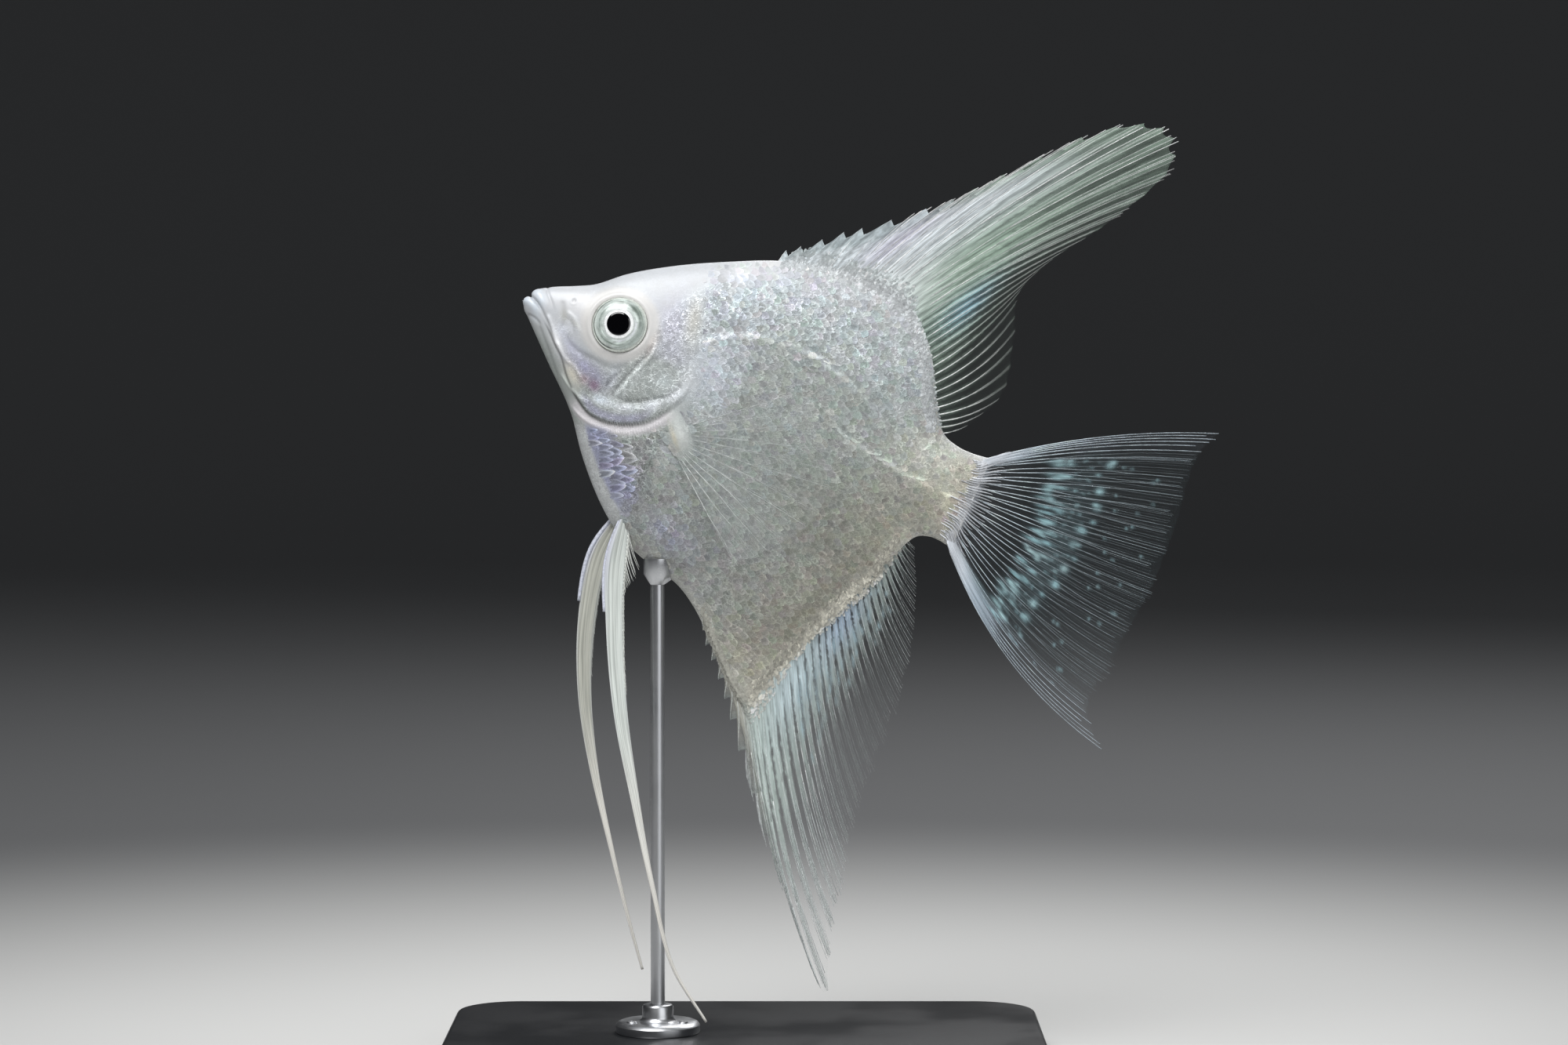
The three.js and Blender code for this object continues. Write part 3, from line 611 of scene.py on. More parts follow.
class Tubes:
    """Collects tapered tubes along lines of points, to be joined in one mesh."""

    def __init__(self, sides=5):
        self.sides, self.count = sides, 0
        self.points, self.faces, self.colours, self.veils = [], [], [], []

    def add(self, line, radius, colour, veil=1.0, flat=1.0):
        """flat widens the tube sideways, across the fish."""
        line = np.asarray(line, float)
        n, k = len(line), self.sides
        tangent = np.gradient(line, axis=0)
        tangent /= np.linalg.norm(tangent, axis=1, keepdims=True) + 1e-12
        across = np.tile([0.0, 1.0, 0.0], (n, 1))
        across -= tangent * (across * tangent).sum(1, keepdims=True)
        across /= np.linalg.norm(across, axis=1, keepdims=True)
        other = np.cross(tangent, across)
        turn = np.linspace(0, 2 * math.pi, k, endpoint=False)[None, :, None]
        radius = np.broadcast_to(radius, n)[:, None, None]
        ring = across[:, None] * np.cos(turn) * flat + other[:, None] * np.sin(turn)
        self.points.append((line[:, None] + ring * radius).reshape(-1, 3))
        self.colours.append(np.repeat(np.broadcast_to(colour, (n, 3)), k, axis=0))
        self.veils.append(np.repeat(np.broadcast_to(veil, n), k))
        o = self.count
        for i in range(n - 1):
            for j in range(k):
                a, b = o + i * k + j, o + i * k + (j + 1) % k
                self.faces.append((a, b, b + k, a + k))
        self.faces.append(tuple(o + j for j in reversed(range(k))))
        self.faces.append(tuple(o + (n - 1) * k + j for j in range(k)))
        self.count += n * k

    def finish(self, name):
        """Joins the tubes in one piece of the ray's material."""
        points, colours, veils = (np.concatenate(part) for part in (self.points, self.colours, self.veils))
        finish_piece(from_arrays(name, points, self.faces, colours, Veil=veils), name, RAY)


# ---------------------------------------------------------------- shader groups and materials
def node_group(name, inputs, outputs):
    group = bpy.data.node_groups.new(name, "ShaderNodeTree")
    for label, kind, value in inputs:
        socket = group.interface.new_socket(name=label, in_out="INPUT", socket_type=kind)
        if value is not None:
            socket.default_value = value
    for label, kind in outputs:
        group.interface.new_socket(name=label, in_out="OUTPUT", socket_type=kind)
    return group, group.nodes.new("NodeGroupInput"), group.nodes.new("NodeGroupOutput")


def connect(tree, node, links):
    """Links each (input, source), or gives the input the source as a plain value."""
    for socket, source in links:
        if isinstance(source, bpy.types.NodeSocket):
            tree.links.new(source, node.inputs[socket])
        else:
            node.inputs[socket].default_value = source
    return node


def add_node(tree, kind, links=(), **settings):
    """A shader node with its settings; links are (input, source socket or plain value)."""
    node = tree.nodes.new(kind)
    for key, value in settings.items():
        setattr(node, key, value)
    return connect(tree, node, links)


def maths(tree, operation, *values, clamp=False):
    links = enumerate(values)
    return add_node(tree, "ShaderNodeMath", links, operation=operation, use_clamp=clamp).outputs[0]


def ranged(tree, value, low, high, to_low=0.0, to_high=1.0):
    """value from low..high to to_low..to_high, smoothly."""
    links = [(0, value), (1, low), (2, high), (3, to_low), (4, to_high)]
    return add_node(tree, "ShaderNodeMapRange", links, interpolation_type="SMOOTHSTEP").outputs[0]


def vector_maths(tree, operation, *values):
    return add_node(tree, "ShaderNodeVectorMath", enumerate(values), operation=operation).outputs[0]


def scaled(tree, vector, factor):
    links = [(0, vector), ("Scale", factor)]
    return add_node(tree, "ShaderNodeVectorMath", links, operation="SCALE").outputs[0]


def object_place(tree):
    return add_node(tree, "ShaderNodeTexCoord").outputs["Object"]


def mapped(tree, vector, **settings):
    return add_node(tree, "ShaderNodeMapping", [("Vector", vector), *settings.items()]).outputs[0]


def noise(tree, place, scale, detail=2.0, output="Fac", **settings):
    links = [("Vector", place), ("Scale", scale), ("Detail", detail), *settings.items()]
    return add_node(tree, "ShaderNodeTexNoise", links).outputs[output]


def fish_coordinates(tree):
    """Object coordinates turned into the fish's own frame, in millimetres."""
    shifted = mapped(tree, object_place(tree), Location=tuple(-SNOUT * MM))
    return mapped(tree, shifted, Rotation=(0, -NOSE_UP, 0), Scale=(1000, 1000, 1000))


def silver_crinkle_group():
    """Curled white strands round darker cells, as guanine lies in fish skin."""
    inputs = [
        ("Colour", "NodeSocketColor", (0.5, 0.5, 0.5, 1)),
        ("Cells per mm", "NodeSocketFloat", 1.0),
        ("Curls per mm", "NodeSocketFloat", 1.5),
        ("Strength", "NodeSocketFloat", 0.5),
    ]
    outputs = [("Colour", "NodeSocketColor"), ("Height", "NodeSocketFloat")]
    group, ins, outs = node_group("Silver crinkle", inputs, outputs)
    place = fish_coordinates(group)
    drift = vector_maths(group, "SUBTRACT", noise(group, place, 1.1, output="Color"), (0.5, 0.5, 0.5))
    bent = vector_maths(group, "ADD", place, scaled(group, drift, 1.3))
    links = [("Vector", bent), ("Scale", ins.outputs["Cells per mm"])]
    border = add_node(group, "ShaderNodeTexVoronoi", links, feature="DISTANCE_TO_EDGE").outputs["Distance"]
    border = ranged(group, border, 0.0, 0.2, 1.0, 0.0)
    gaps = noise(group, bent, 1.4)
    border = maths(group, "MULTIPLY", border, ranged(group, gaps, 0.42, 0.58))
    cell = add_node(group, "ShaderNodeTexVoronoi", links, feature="F1").outputs["Color"]
    cell = add_node(group, "ShaderNodeSeparateColor", [(0, cell)]).outputs[0]
    curl = noise(group, place, ins.outputs["Curls per mm"], Distortion=1.1)
    curl = ranged(group, maths(group, "ABSOLUTE", maths(group, "SUBTRACT", curl, 0.5)), 0.0, 0.05, 1.0, 0.0)
    curl = maths(group, "MULTIPLY", curl, ranged(group, gaps, 0.6, 0.44))
    fade = ranged(group, noise(group, place, 0.4, 3.0), 0.35, 0.65)
    border = maths(group, "MULTIPLY", border, maths(group, "MULTIPLY_ADD", fade, 0.6, 0.4))
    curl = maths(group, "MULTIPLY", curl, maths(group, "MULTIPLY_ADD", fade, -0.4, 1.0))
    strand = maths(group, "MAXIMUM", border, curl)
    tint = noise(group, place, 0.55, 3.0, Roughness=0.6)
    relief = maths(group, "ADD", maths(group, "SUBTRACT", strand, 0.4), maths(group, "MULTIPLY", cell, 0.3))
    gain = maths(group, "MULTIPLY_ADD", relief, ins.outputs["Strength"], 1.0)
    gain = maths(group, "MULTIPLY", gain, maths(group, "MULTIPLY_ADD", tint, 0.2, 0.9))
    lit = scaled(group, ins.outputs["Colour"], gain)
    links = [("Color", lit), ("Saturation", maths(group, "MULTIPLY_ADD", tint, 0.8, 0.55))]
    hue = add_node(group, "ShaderNodeHueSaturation", links)
    group.links.new(hue.outputs[0], outs.inputs["Colour"])
    group.links.new(strand, outs.inputs["Height"])
    return group


def wear_group():
    """Broad cloudiness and fine speckle for worked surfaces of the stand."""
    inputs = [("Scale", "NodeSocketFloat", 60.0), ("Speckle", "NodeSocketFloat", 900.0)]
    outputs = [("Cloud", "NodeSocketFloat"), ("Speckle", "NodeSocketFloat")]
    group, ins, outs = node_group("Handling wear", inputs, outputs)
    place = object_place(group)
    cloud = noise(group, place, ins.outputs["Scale"], 3.0)
    dots = noise(group, place, ins.outputs["Speckle"])
    group.links.new(ranged(group, cloud, 0.3, 0.7), outs.inputs["Cloud"])
    group.links.new(ranged(group, dots, 0.35, 0.65), outs.inputs["Speckle"])
    return group


CRINKLE = silver_crinkle_group()
WEAR = wear_group()


def new_material(name, **sockets):
    """A material whose Principled BSDF has these plain values on its own sockets."""
    material = bpy.data.materials.new(name)
    material.use_nodes = True
    shader = material.node_tree.nodes["Principled BSDF"]
    for key, value in sockets.items():
        shader.inputs[key.replace("_", " ")].default_value = value
    return material, material.node_tree, shader


def add_bump(tree, shader, height, strength, distance):
    links = [("Height", height), ("Strength", strength), ("Distance", distance)]
    bump = add_node(tree, "ShaderNodeBump", links)
    tree.links.new(bump.outputs[0], shader.inputs["Normal"])


def painted(tree):
    return add_node(tree, "ShaderNodeVertexColor", layer_name="Paint").outputs["Color"]


def stored(tree, name):
    return add_node(tree, "ShaderNodeAttribute", attribute_name=name).outputs["Fac"]


def use_paint(tree, shader, gain):
    """Gives the shader the painted colour, brightened by gain."""
    tree.links.new(scaled(tree, painted(tree), gain), shader.inputs["Base Color"])


def use_veil(tree, shader, gain):
    """Gives the shader the stored opacity, strengthened by gain."""
    opacity = maths(tree, "MULTIPLY", stored(tree, "Veil"), gain, clamp=True)
    tree.links.new(opacity, shader.inputs["Alpha"])


def flesh_material(name, cells, curls, strength, depth, low, high, **sockets):
    """Skin or scale: the painted markings under a silver crinkle, with its cells and curls per mm. depth is
    the crinkle's relief in mm; low and high are the roughness on its strands and between them."""
    material, tree, shader = new_material(name, Coat_Roughness=0.25, **sockets)
    shine = stored(tree, "Silver")
    links = [
        ("Colour", painted(tree)), ("Cells per mm", cells), ("Curls per mm", curls),
        ("Strength", maths(tree, "MULTIPLY", shine, strength)),
    ]
    crinkle = tree.nodes.new("ShaderNodeGroup")
    crinkle.node_tree = CRINKLE
    connect(tree, crinkle, links)
    tree.links.new(crinkle.outputs["Colour"], shader.inputs["Base Color"])
    lit = maths(tree, "MULTIPLY", crinkle.outputs["Height"], shine)
    tree.links.new(ranged(tree, lit, 0.0, 1.0, high, low), shader.inputs["Roughness"])
    add_bump(tree, shader, lit, 0.7, depth * MM)
    return material


def fin_material(name, streaks, **sockets):
    """Fin skin: painted colour and opacity, both broken by fine streaks along the rays."""
    material, tree, shader = new_material(name, **sockets)
    place = add_node(tree, "ShaderNodeUVMap", uv_map="UVMap").outputs[0]
    streak = noise(tree, mapped(tree, place, Scale=streaks), 1.0, 3.0)
    use_paint(tree, shader, ranged(tree, streak, 0.25, 0.75, 0.82, 1.16))
    use_veil(tree, shader, ranged(tree, streak, 0.2, 0.8, 0.75, 1.2))
    add_bump(tree, shader, streak, 0.3, 0.05 * MM)
    return material


def ray_material(name, **sockets):
    """Fin rays: painted, with the faint joints that divide them."""
    material, tree, shader = new_material(name, **sockets)
    joints = noise(tree, fish_coordinates(tree), 2.6)
    use_paint(tree, shader, ranged(tree, joints, 0.3, 0.7, 0.84, 1.1))
    tree.links.new(ranged(tree, joints, 0.3, 0.7, 0.5, 0.3), shader.inputs["Roughness"])
    use_veil(tree, shader, ranged(tree, joints, 0.2, 0.5, 0.85, 1.0))
    add_bump(tree, shader, joints, 0.4, 0.04 * MM)
    return material


def eye_material():
    material, tree, shader = new_material("eye", Coat_Weight=0.6, Coat_Roughness=0.03, Metallic=0.05)
    flecks = noise(tree, fish_coordinates(tree), 3.2, 4.0, Distortion=1.2)
    use_paint(tree, shader, ranged(tree, flecks, 0.25, 0.75, 0.86, 1.12))
    tree.links.new(ranged(tree, stored(tree, "Gloss"), 0.0, 1.0, 0.34, 0.06), shader.inputs["Roughness"])
    return material


def wear(tree, *links):
    node = tree.nodes.new("ShaderNodeGroup")
    node.node_tree = WEAR
    return connect(tree, node, links)


def lacquer_material():
    black = (0.012, 0.013, 0.015, 1)
    material, tree, shader = new_material(
        "satin_black_lacquer", Base_Color=black, Coat_Weight=0.25, Coat_Roughness=0.2
    )
    worn = wear(tree, ("Scale", 45.0), ("Speckle", 2600.0))
    tree.links.new(ranged(tree, worn.outputs["Cloud"], 0.0, 1.0, 0.3, 0.42), shader.inputs["Roughness"])
    add_bump(tree, shader, worn.outputs["Speckle"], 0.25, 0.03 * MM)
    return material


def steel_material():
    grey = (0.6, 0.61, 0.63, 1)
    material, tree, shader = new_material("brushed_steel", Base_Color=grey, Metallic=1.0)
    worn = wear(tree, ("Scale", 130.0))
    brushed = noise(tree, mapped(tree, object_place(tree), Scale=(400, 400, 9000)), 1.0)
    lines = ranged(tree, brushed, 0.3, 0.7, 0.26, 0.32)
    rough = maths(tree, "MULTIPLY_ADD", worn.outputs["Cloud"], 0.08, lines)
    tree.links.new(rough, shader.inputs["Roughness"])
    add_bump(tree, shader, brushed, 0.05, 0.02 * MM)
    return material


SKIN = flesh_material(
    "skin", cells=1.5, curls=1.3, strength=0.36, depth=0.05, low=0.3, high=0.46,
    Metallic=0.05, Coat_Weight=0.15,
)
SCALE = flesh_material(
    "scale", cells=1.7, curls=2.0, strength=0.55, depth=0.05, low=0.3, high=0.48,
    Metallic=0.08, Coat_Weight=0.1,
)
FIN_SKIN = fin_material("fin_skin", (260.0, 9.0, 1.0), Roughness=0.36)
RIBBON = fin_material("belly_fin", (30.0, 5.0, 1.0), Roughness=0.4)
RAY = ray_material("fin_ray", Metallic=0.05)
EYE_FINISH = eye_material()
LACQUER = lacquer_material()
STEEL = steel_material()

# ---------------------------------------------------------------- camera, light and floor
VIEW_CENTRE = Vector((0.006, 0, 0.0845))
VIEW_WIDTH, LENS, SENSOR = 0.240, 100.0, 36.0
LOOK_DOWN = math.radians(2.5)
camera_data = bpy.data.cameras.new("camera")
camera_data.lens, camera_data.sensor_width = LENS, SENSOR
camera = linked("camera", camera_data)
camera_distance = VIEW_WIDTH * LENS / SENSOR
camera.location = VIEW_CENTRE + Vector((0, -math.cos(LOOK_DOWN), math.sin(LOOK_DOWN))) * camera_distance
camera.rotation_euler = (math.radians(90) - LOOK_DOWN, 0, 0)
camera_data.clip_start, camera_data.clip_end = 0.01, 20
bpy.context.scene.camera = camera


def area_light(name, place, aim, width, height, power, colour=(1, 1, 1)):
    data = bpy.data.lights.new(name, "AREA")
    data.shape, data.size, data.size_y = "RECTANGLE", width, height
    data.energy, data.color = power, colour
    lamp = linked(name, data)
    lamp.location = place
    lamp.rotation_euler = (Vector(aim) - Vector(place)).to_track_quat("-Z", "Y").to_euler()
    lamp.visible_camera = False


MIDDLE = (0.01, 0, 0.09)
area_light("key", (-0.2, -0.4, 0.74), MIDDLE, 0.5, 0.5, 7.0)
area_light("fill", (0.55, -0.8, 0.3), MIDDLE, 0.8, 0.8, 3.2, (0.97, 0.985, 1))
area_light("rim", (0.25, 0.55, 0.6), MIDDLE, 0.5, 0.3, 3.6)
world = bpy.data.worlds.new("studio")
world.use_nodes = True
background = world.node_tree.nodes["Background"]
connect(world.node_tree, background, [("Color", (0.93, 0.965, 1, 1)), ("Strength", 0.25)])
bpy.context.scene.world = world
bpy.context.scene.view_settings.view_transform = "Standard"


def spun(name, profile, steps, centre=(0, 0, 0)):
    """A closed turned shape: a profile of (radius, height) points spun round a vertical axis. Metres."""
    mesh = bpy.data.meshes.new(name)
    points = [(centre[0] + r, centre[1], centre[2] + z) for r, z in profile]
    mesh.from_pydata(points, [(i, i + 1) for i in range(len(points) - 1)], [])
    piece = linked(name, mesh)
    only(piece)
    bpy.ops.object.mode_set(mode="EDIT")
    bpy.ops.mesh.select_all(action="SELECT")
    bpy.ops.mesh.spin(steps=steps, angle=2 * math.pi, center=centre, axis=(0, 0, 1))
    weld(1e-6)
    return piece


FLOOR_BELOW = 0.0002  # how far the floor lies under the base
WALL_START, WALL_BEND, WALL_TOP = 1.5, 0.9, 3.0  # where the sweep starts, its radius, the wall's height


def make_floor():
    """A round floor that sweeps up into a plain wall, pale near the part and dark far from it: a painted pool
    of light.
    """
    profile = [(0.0, 0.0), (0.4, 0.0), (0.9, 0.0)]
    for a in np.linspace(0, math.pi / 2, 12):
        profile.append((WALL_START + WALL_BEND * math.sin(a), WALL_BEND - WALL_BEND * math.cos(a)))
    profile.append((WALL_START + WALL_BEND, WALL_TOP))
    piece = spun("floor", profile, 96, (0, 0, -FLOOR_BELOW))
    material, tree, shader = new_material("floor_paint", Roughness=0.75)
    flat = vector_maths(tree, "MULTIPLY", object_place(tree), (1, 1, 0.6))
    far = add_node(tree, "ShaderNodeVectorMath", [(0, flat)], operation="LENGTH").outputs["Value"]
    blend = tree.nodes.new("ShaderNodeMix")
    blend.data_type = "RGBA"
    factor, near_colour, far_colour = (blend.inputs[i] for i in (0, 6, 7))
    # Painted pool of light: pale near the part, fading to dark farther out.
    tree.links.new(ranged(tree, far, 0.05, 0.36), factor)
    near_colour.default_value, far_colour.default_value = (0.6, 0.6, 0.59, 1), (0.1, 0.102, 0.105, 1)
    tree.links.new(blend.outputs[2], shader.inputs["Base Color"])
    piece.data.materials.append(material)
    only(piece)
    bpy.ops.object.shade_smooth()


make_floor()


# ---------------------------------------------------------------- skin
SKIN_GRID = (300, 320)  # round the body, and along it
END_ROWS = 0.014  # share of the rows that close each end
station = through((0, 0), (0.03, 0.25), (0.1, 2.0), (0.64, 29), (0.84, 56), (0.96, 72.5), (1, BODY_LENGTH))


def make_skin():
    """One closed skin over the whole body."""

    def place(u, v):
        inner = (v - END_ROWS) / (1 - 2 * END_ROWS)
        x = station(np.clip(inner, 0, 1))
        points = skin_point(x, u * 2 * math.pi)
        # Past each end the section closes on its own middle.
        shut = np.clip(np.maximum(-inner, inner - 1) * (1 - 2 * END_ROWS) / END_ROWS, 0, 1)
        shrink = np.sqrt(1 - shut**2)
        middle = np.stack([x, 0 * x, (back(x) + belly(x)) / 2], -1)
        points = middle + (points - middle) * shrink[:, None]
        points[:, 0] += np.where(inner < 0, -0.3, 0.4) * (1 - shrink)
        return points

    skin, _, _ = sheet(*SKIN_GRID, place, wrap=True)
    fish = from_row(vertices(skin))
    x, z = fish[:, 0], fish[:, 2]
    near = lines_near(x, z)
    tone = markings(x, z, near) * (1 + 0.12 * beside_side_line(x, z))[:, None]
    paint(skin, np.clip(tone, 0, 250), Silver=silver(x, z, near))
    return finish_piece(skin, "skin", SKIN, [
        "head", "upper_jaw", "lower_jaw", "gill_cover_left", "gill_cover_right",
        "breast", "trunk", "tail_base",
    ])


skin = make_skin()


# ---------------------------------------------------------------- scales
SCALE_START = [
    (22.5, 17.5), (23.6, 14), (25, 11), (26.4, 7.6), (27.6, 4.6), (28.9, 1), (29.4, -2), (28.6, -5.2),
    (27, -8), (24.4, -10.8), (21.2, -12.4), (18.2, -12.9), (15.4, -12.5), (13, -11.4), (11, -10.6),
]
CORNERS = 12  # of a scale's outline
PITCH, LONG_PITCH = (1.0, 1.08), (1.7, 1.0)  # from scale to scale along and across, in mm
HALF_LENGTH, HALF_WIDTH = 1.12, 0.72  # of a full-grown scale, in mm
BAKE_X, BAKE_Z, BAKE_PATCH = 0.0058, 0.0125, 0.0015  # the bake's size of a millimetre each way and of a scale
ROW_TURN = 24.0  # degrees; how the breast's rows of long scales lean


def lattice(pitch_x, pitch_z, turn=0.0):
    """Places in a staggered pattern over the whole flank, a little irregular."""
    columns = np.arange(-90, 130, pitch_x)
    rows = np.arange(-110, 110, pitch_z)
    x = np.repeat(columns, len(rows))
    z = np.tile(rows, len(columns)) + np.repeat(np.arange(len(columns)) % 2, len(rows)) * pitch_z / 2
    x, z = x + rng.normal(0, 0.11, len(x)), z + rng.normal(0, 0.1, len(z))
    c, s = math.cos(math.radians(turn)), math.sin(math.radians(turn))
    x, z = x * c - z * s, x * s + z * c
    inside = (x > 10) & (x < BODY_LENGTH) & (z > -44) & (z < 26)
    return x[inside], z[inside]


def on_breast(x, z):
    return smooth(26.5 - x - 0.25 * (z + 20), 0, 1.5) * smooth(-11.5 - z, 0, 0.6)


def scale_field(x, z, breast):
    """Each scale's size, from 0 where the skin is bare to 1."""
    far, _, side = near_line(SCALE_START, x, z)
    size = smooth(far * side, -0.2, 3.2)
    margin = np.minimum(back(x) - z, z - belly(x)) * 0.72
    ragged_end = BODY_LENGTH - 0.6 - 1.6 * grain(z * 1.3 + 80, x * 0.7 + 30, 9)
    size = np.where((far * side < 0.1) | (margin < 0.35) | (x > ragged_end), 0, 0.45 + 0.55 * size)
    size *= np.where(breast, 1, 1 - 0.45 * smooth(1.6 - margin, 0, 1.2))
    size = np.where(breast & (margin < 1.95), 0, size)
    size *= 1 - 0.25 * smooth(x, 58, 70)
    return np.where(spot(x, z, *FIN_PAD, 3.2, 1.5, -48) > 0.45, 0, size)


def make_scales(side_name):
    """Overlapping plates with a raised rear rim, from the gill cover to the tail, pressed to the skin."""
    side = SIDES[side_name]
    wide_x, wide_z = lattice(*PITCH)
    long_x, long_z = lattice(*LONG_PITCH, ROW_TURN)
    x, z = np.concatenate([wide_x, long_x]), np.concatenate([wide_z, long_z])
    long = np.arange(len(x)) >= len(wide_x)
    size = scale_field(x, z, long)
    size = np.where(long == (on_breast(x, z) > 0.5), size, 0)
    keep = size > 0.05
    x, z, size, long = x[keep], z[keep], size[keep], long[keep].astype(float)
    n = len(x)
    near = lines_near(x, z)
    angle = angle_at(x, z, side)
    normal = section_normal(x, angle)
    height = folded_height(x, z, angle, near)

    # A scale's outline is round behind and narrower in front.
    corner = np.linspace(0, 2 * math.pi, CORNERS, endpoint=False)
    a, b = np.cos(corner), np.sin(corner) * (1 - 0.15 * np.cos(corner))
    middle = np.zeros(1)
    along = np.concatenate([middle, 0.5 * a, 0.82 * a, a, middle])
    across = np.concatenate([middle, 0.5 * b, 0.82 * b, b, middle])
    rear = smooth(a, -0.6, 0.3)
    above = np.concatenate([middle, 0 * a, 0.015 * rear, -0.005 * rear, [-0.16]])
    # A bright arc lies somewhere on each scale's rear rim, and a dark patch off its middle.
    away = (corner + math.pi) % (2 * math.pi) - math.pi
    aim, spread = rng.normal(0, 0.5 - 0.3 * long), rng.uniform(0.7, 1.3, n) + 0.4 * long
    arc = bell(away - aim[:, None], spread[:, None])
    patch = bell(away - rng.uniform(-3, 3, n)[:, None], 1.3)
    zero = np.zeros((n, 1))
    light = np.concatenate([zero - 0.8, -0.6 - 0.4 * patch, 0.8 * arc - 0.35, 1.7 * arc - 0.3, zero], 1)
    light += 0.3 * long[:, None] * (light > 0)
    outline = 1 + rng.normal(0, 0.06, (n, CORNERS))
    outline = np.concatenate([np.ones((n, 1)), outline, outline, outline, np.ones((n, 1))], 1)

    flow = -0.3 * smooth(x, 40, 56) * smooth(z, -6, 6) + 0.35 * smooth(36 - x, 0, 10) * smooth(z, 2, 8)
    flow = np.where(long > 0, math.radians(ROW_TURN), flow) + rng.normal(0, 0.16, n)
    grow = size * rng.uniform(0.88, 1.1, n)
    half_length, half_across = grow * (HALF_LENGTH + 0.75 * long), grow * (HALF_WIDTH - 0.14 * long)
    p = half_length[:, None] * along * outline + 0.15
    q = half_across[:, None] * across * outline
    px = x[:, None] + p * np.cos(flow)[:, None] - q * np.sin(flow)[:, None]
    pz = z[:, None] + p * np.sin(flow)[:, None] + q * np.cos(flow)[:, None]
    px = np.minimum(px, BODY_LENGTH - 0.05)
    upper = smooth(z - arch(x), -5, 3) * smooth(60 - x, 0, 14)
    lift = rng.uniform(0.035, 0.06, n) * (0.5 + 0.5 * size) * (0.6 + 0.65 * np.maximum(upper, long))
    ridge = beside_side_line(px, pz + rng.normal(0, 0.14, n)[:, None]) * rng.uniform(0.3, 1.25, n)[:, None]
    tilt = lift[:, None] * (along + 0.35) / 1.35 + above + 0.03 * ridge
    above_body = (height[:, None] + tilt)[..., None]
    points = section_point(px, angle_at(px, pz, side)) + normal[:, None] * above_body

    faces = []
    rings, last = (1, 1 + CORNERS, 1 + 2 * CORNERS), 1 + 3 * CORNERS
    for k in range(CORNERS):
        after = (k + 1) % CORNERS
        faces.append((0, rings[0] + k, rings[0] + after))
        for inner, outer in zip(rings, rings[1:]):
            faces.append((inner + k, outer + k, outer + after, inner + after))
        faces.append((rings[-1] + k, last, rings[-1] + after))
    if side > 0:
        faces = [face[::-1] for face in faces]
    per = last + 1
    every = [tuple(o + v for v in face) for o in range(0, n * per, per) for face in faces]

    # Dark middles and pale rims, strongest on the upper flank and the breast.
    netted = (0.05 + 0.025 * smooth(46 - x, 0, 12)) * upper
    faint = 1 - 0.55 * smooth(z - pale_from(x), -2.5, 2.5)
    strength = ((0.08 + netted) * faint + 0.16 * long) * rng.uniform(0.5 + 0.2 * long, 1.5 - 0.2 * long)
    tone = markings(x, z, near) * rng.normal(1, 0.04, n)[:, None] * (1 + rng.normal(0, 0.012, (n, 3)))
    gain = 1 + strength[:, None] * light * (1 - ridge) + 0.3 * ridge
    colour = np.clip(tone[:, None] * gain[..., None], 0, 250)
    shine = np.repeat(np.maximum(silver(x, z, near) * (1 - 0.6 * long), 0.15), per)
    name = "scales_" + side_name
    piece = from_arrays(name, points.reshape(-1, 3), every, colour.reshape(-1, 3), Silver=shine)
    # Each scale's patch lies at its root's place on an unwrap of the skin, one island for each side.
    island = 0.02 if side < 0 else 0.52
    base = np.stack([island + BAKE_X * x, 0.05 + BAKE_Z * (z + 46)], -1)
    unwrapped = (base[:, None] + np.stack([along, across], -1) * BAKE_PATCH).reshape(-1, 2)
    layer = piece.data.uv_layers.new(name="OFBake")
    corners = np.array([v for face in every for v in face])
    layer.data.foreach_set("uv", unwrapped[corners].astype(np.float32).ravel())
    finish_piece(piece, name, SCALE, smooth_angle=50)


for side_name in SIDES:
    make_scales(side_name)


# ---------------------------------------------------------------- fins
def fin_point(fin, u, v):
    x0, z0 = fin["root"](u)
    x1, z1 = fin["tip"](u)
    bow = 4 * fin["arch"](u) * v * (1 - v)
    x = x0 + (x1 - x0) * v - bow * (z1 - z0)
    z = z0 + (z1 - z0) * v + bow * (x1 - x0)
    return np.stack([x, fin["sway"](u, v) + 0 * x, z], -1)


def tooth(fin, at, share, v):
    """Pushes the fin's edge out most at the tip of each spine, and least just behind it."""
    after, before = fin["tip"](np.minimum(at + 0.01, 1)), fin["tip"](np.maximum(at - 0.01, 0))
    ahead = np.stack(after, -1) - np.stack(before, -1)
    ahead /= np.linalg.norm(ahead, axis=1, keepdims=True)
    rise = np.where(share < 1e-6, 0.5, share**1.3 - 0.5)
    push = fin["step"](at) * rise * smooth(v, 0.4, 1)
    return np.stack([ahead[:, 1] * push, 0 * push, -ahead[:, 0] * push], -1)


def root_wall(v):
    """The web's share of its full thickness: all of it at the root, a little farther out."""
    return 0.14 + 0.86 * smooth(0.14 - v, 0, 0.14)


def lengths(fin, u):
    """How far the fin reaches from root to edge at each place along it."""
    return np.linalg.norm(fin_point(fin, u, 1.0) - fin_point(fin, u, 0.0), axis=1)


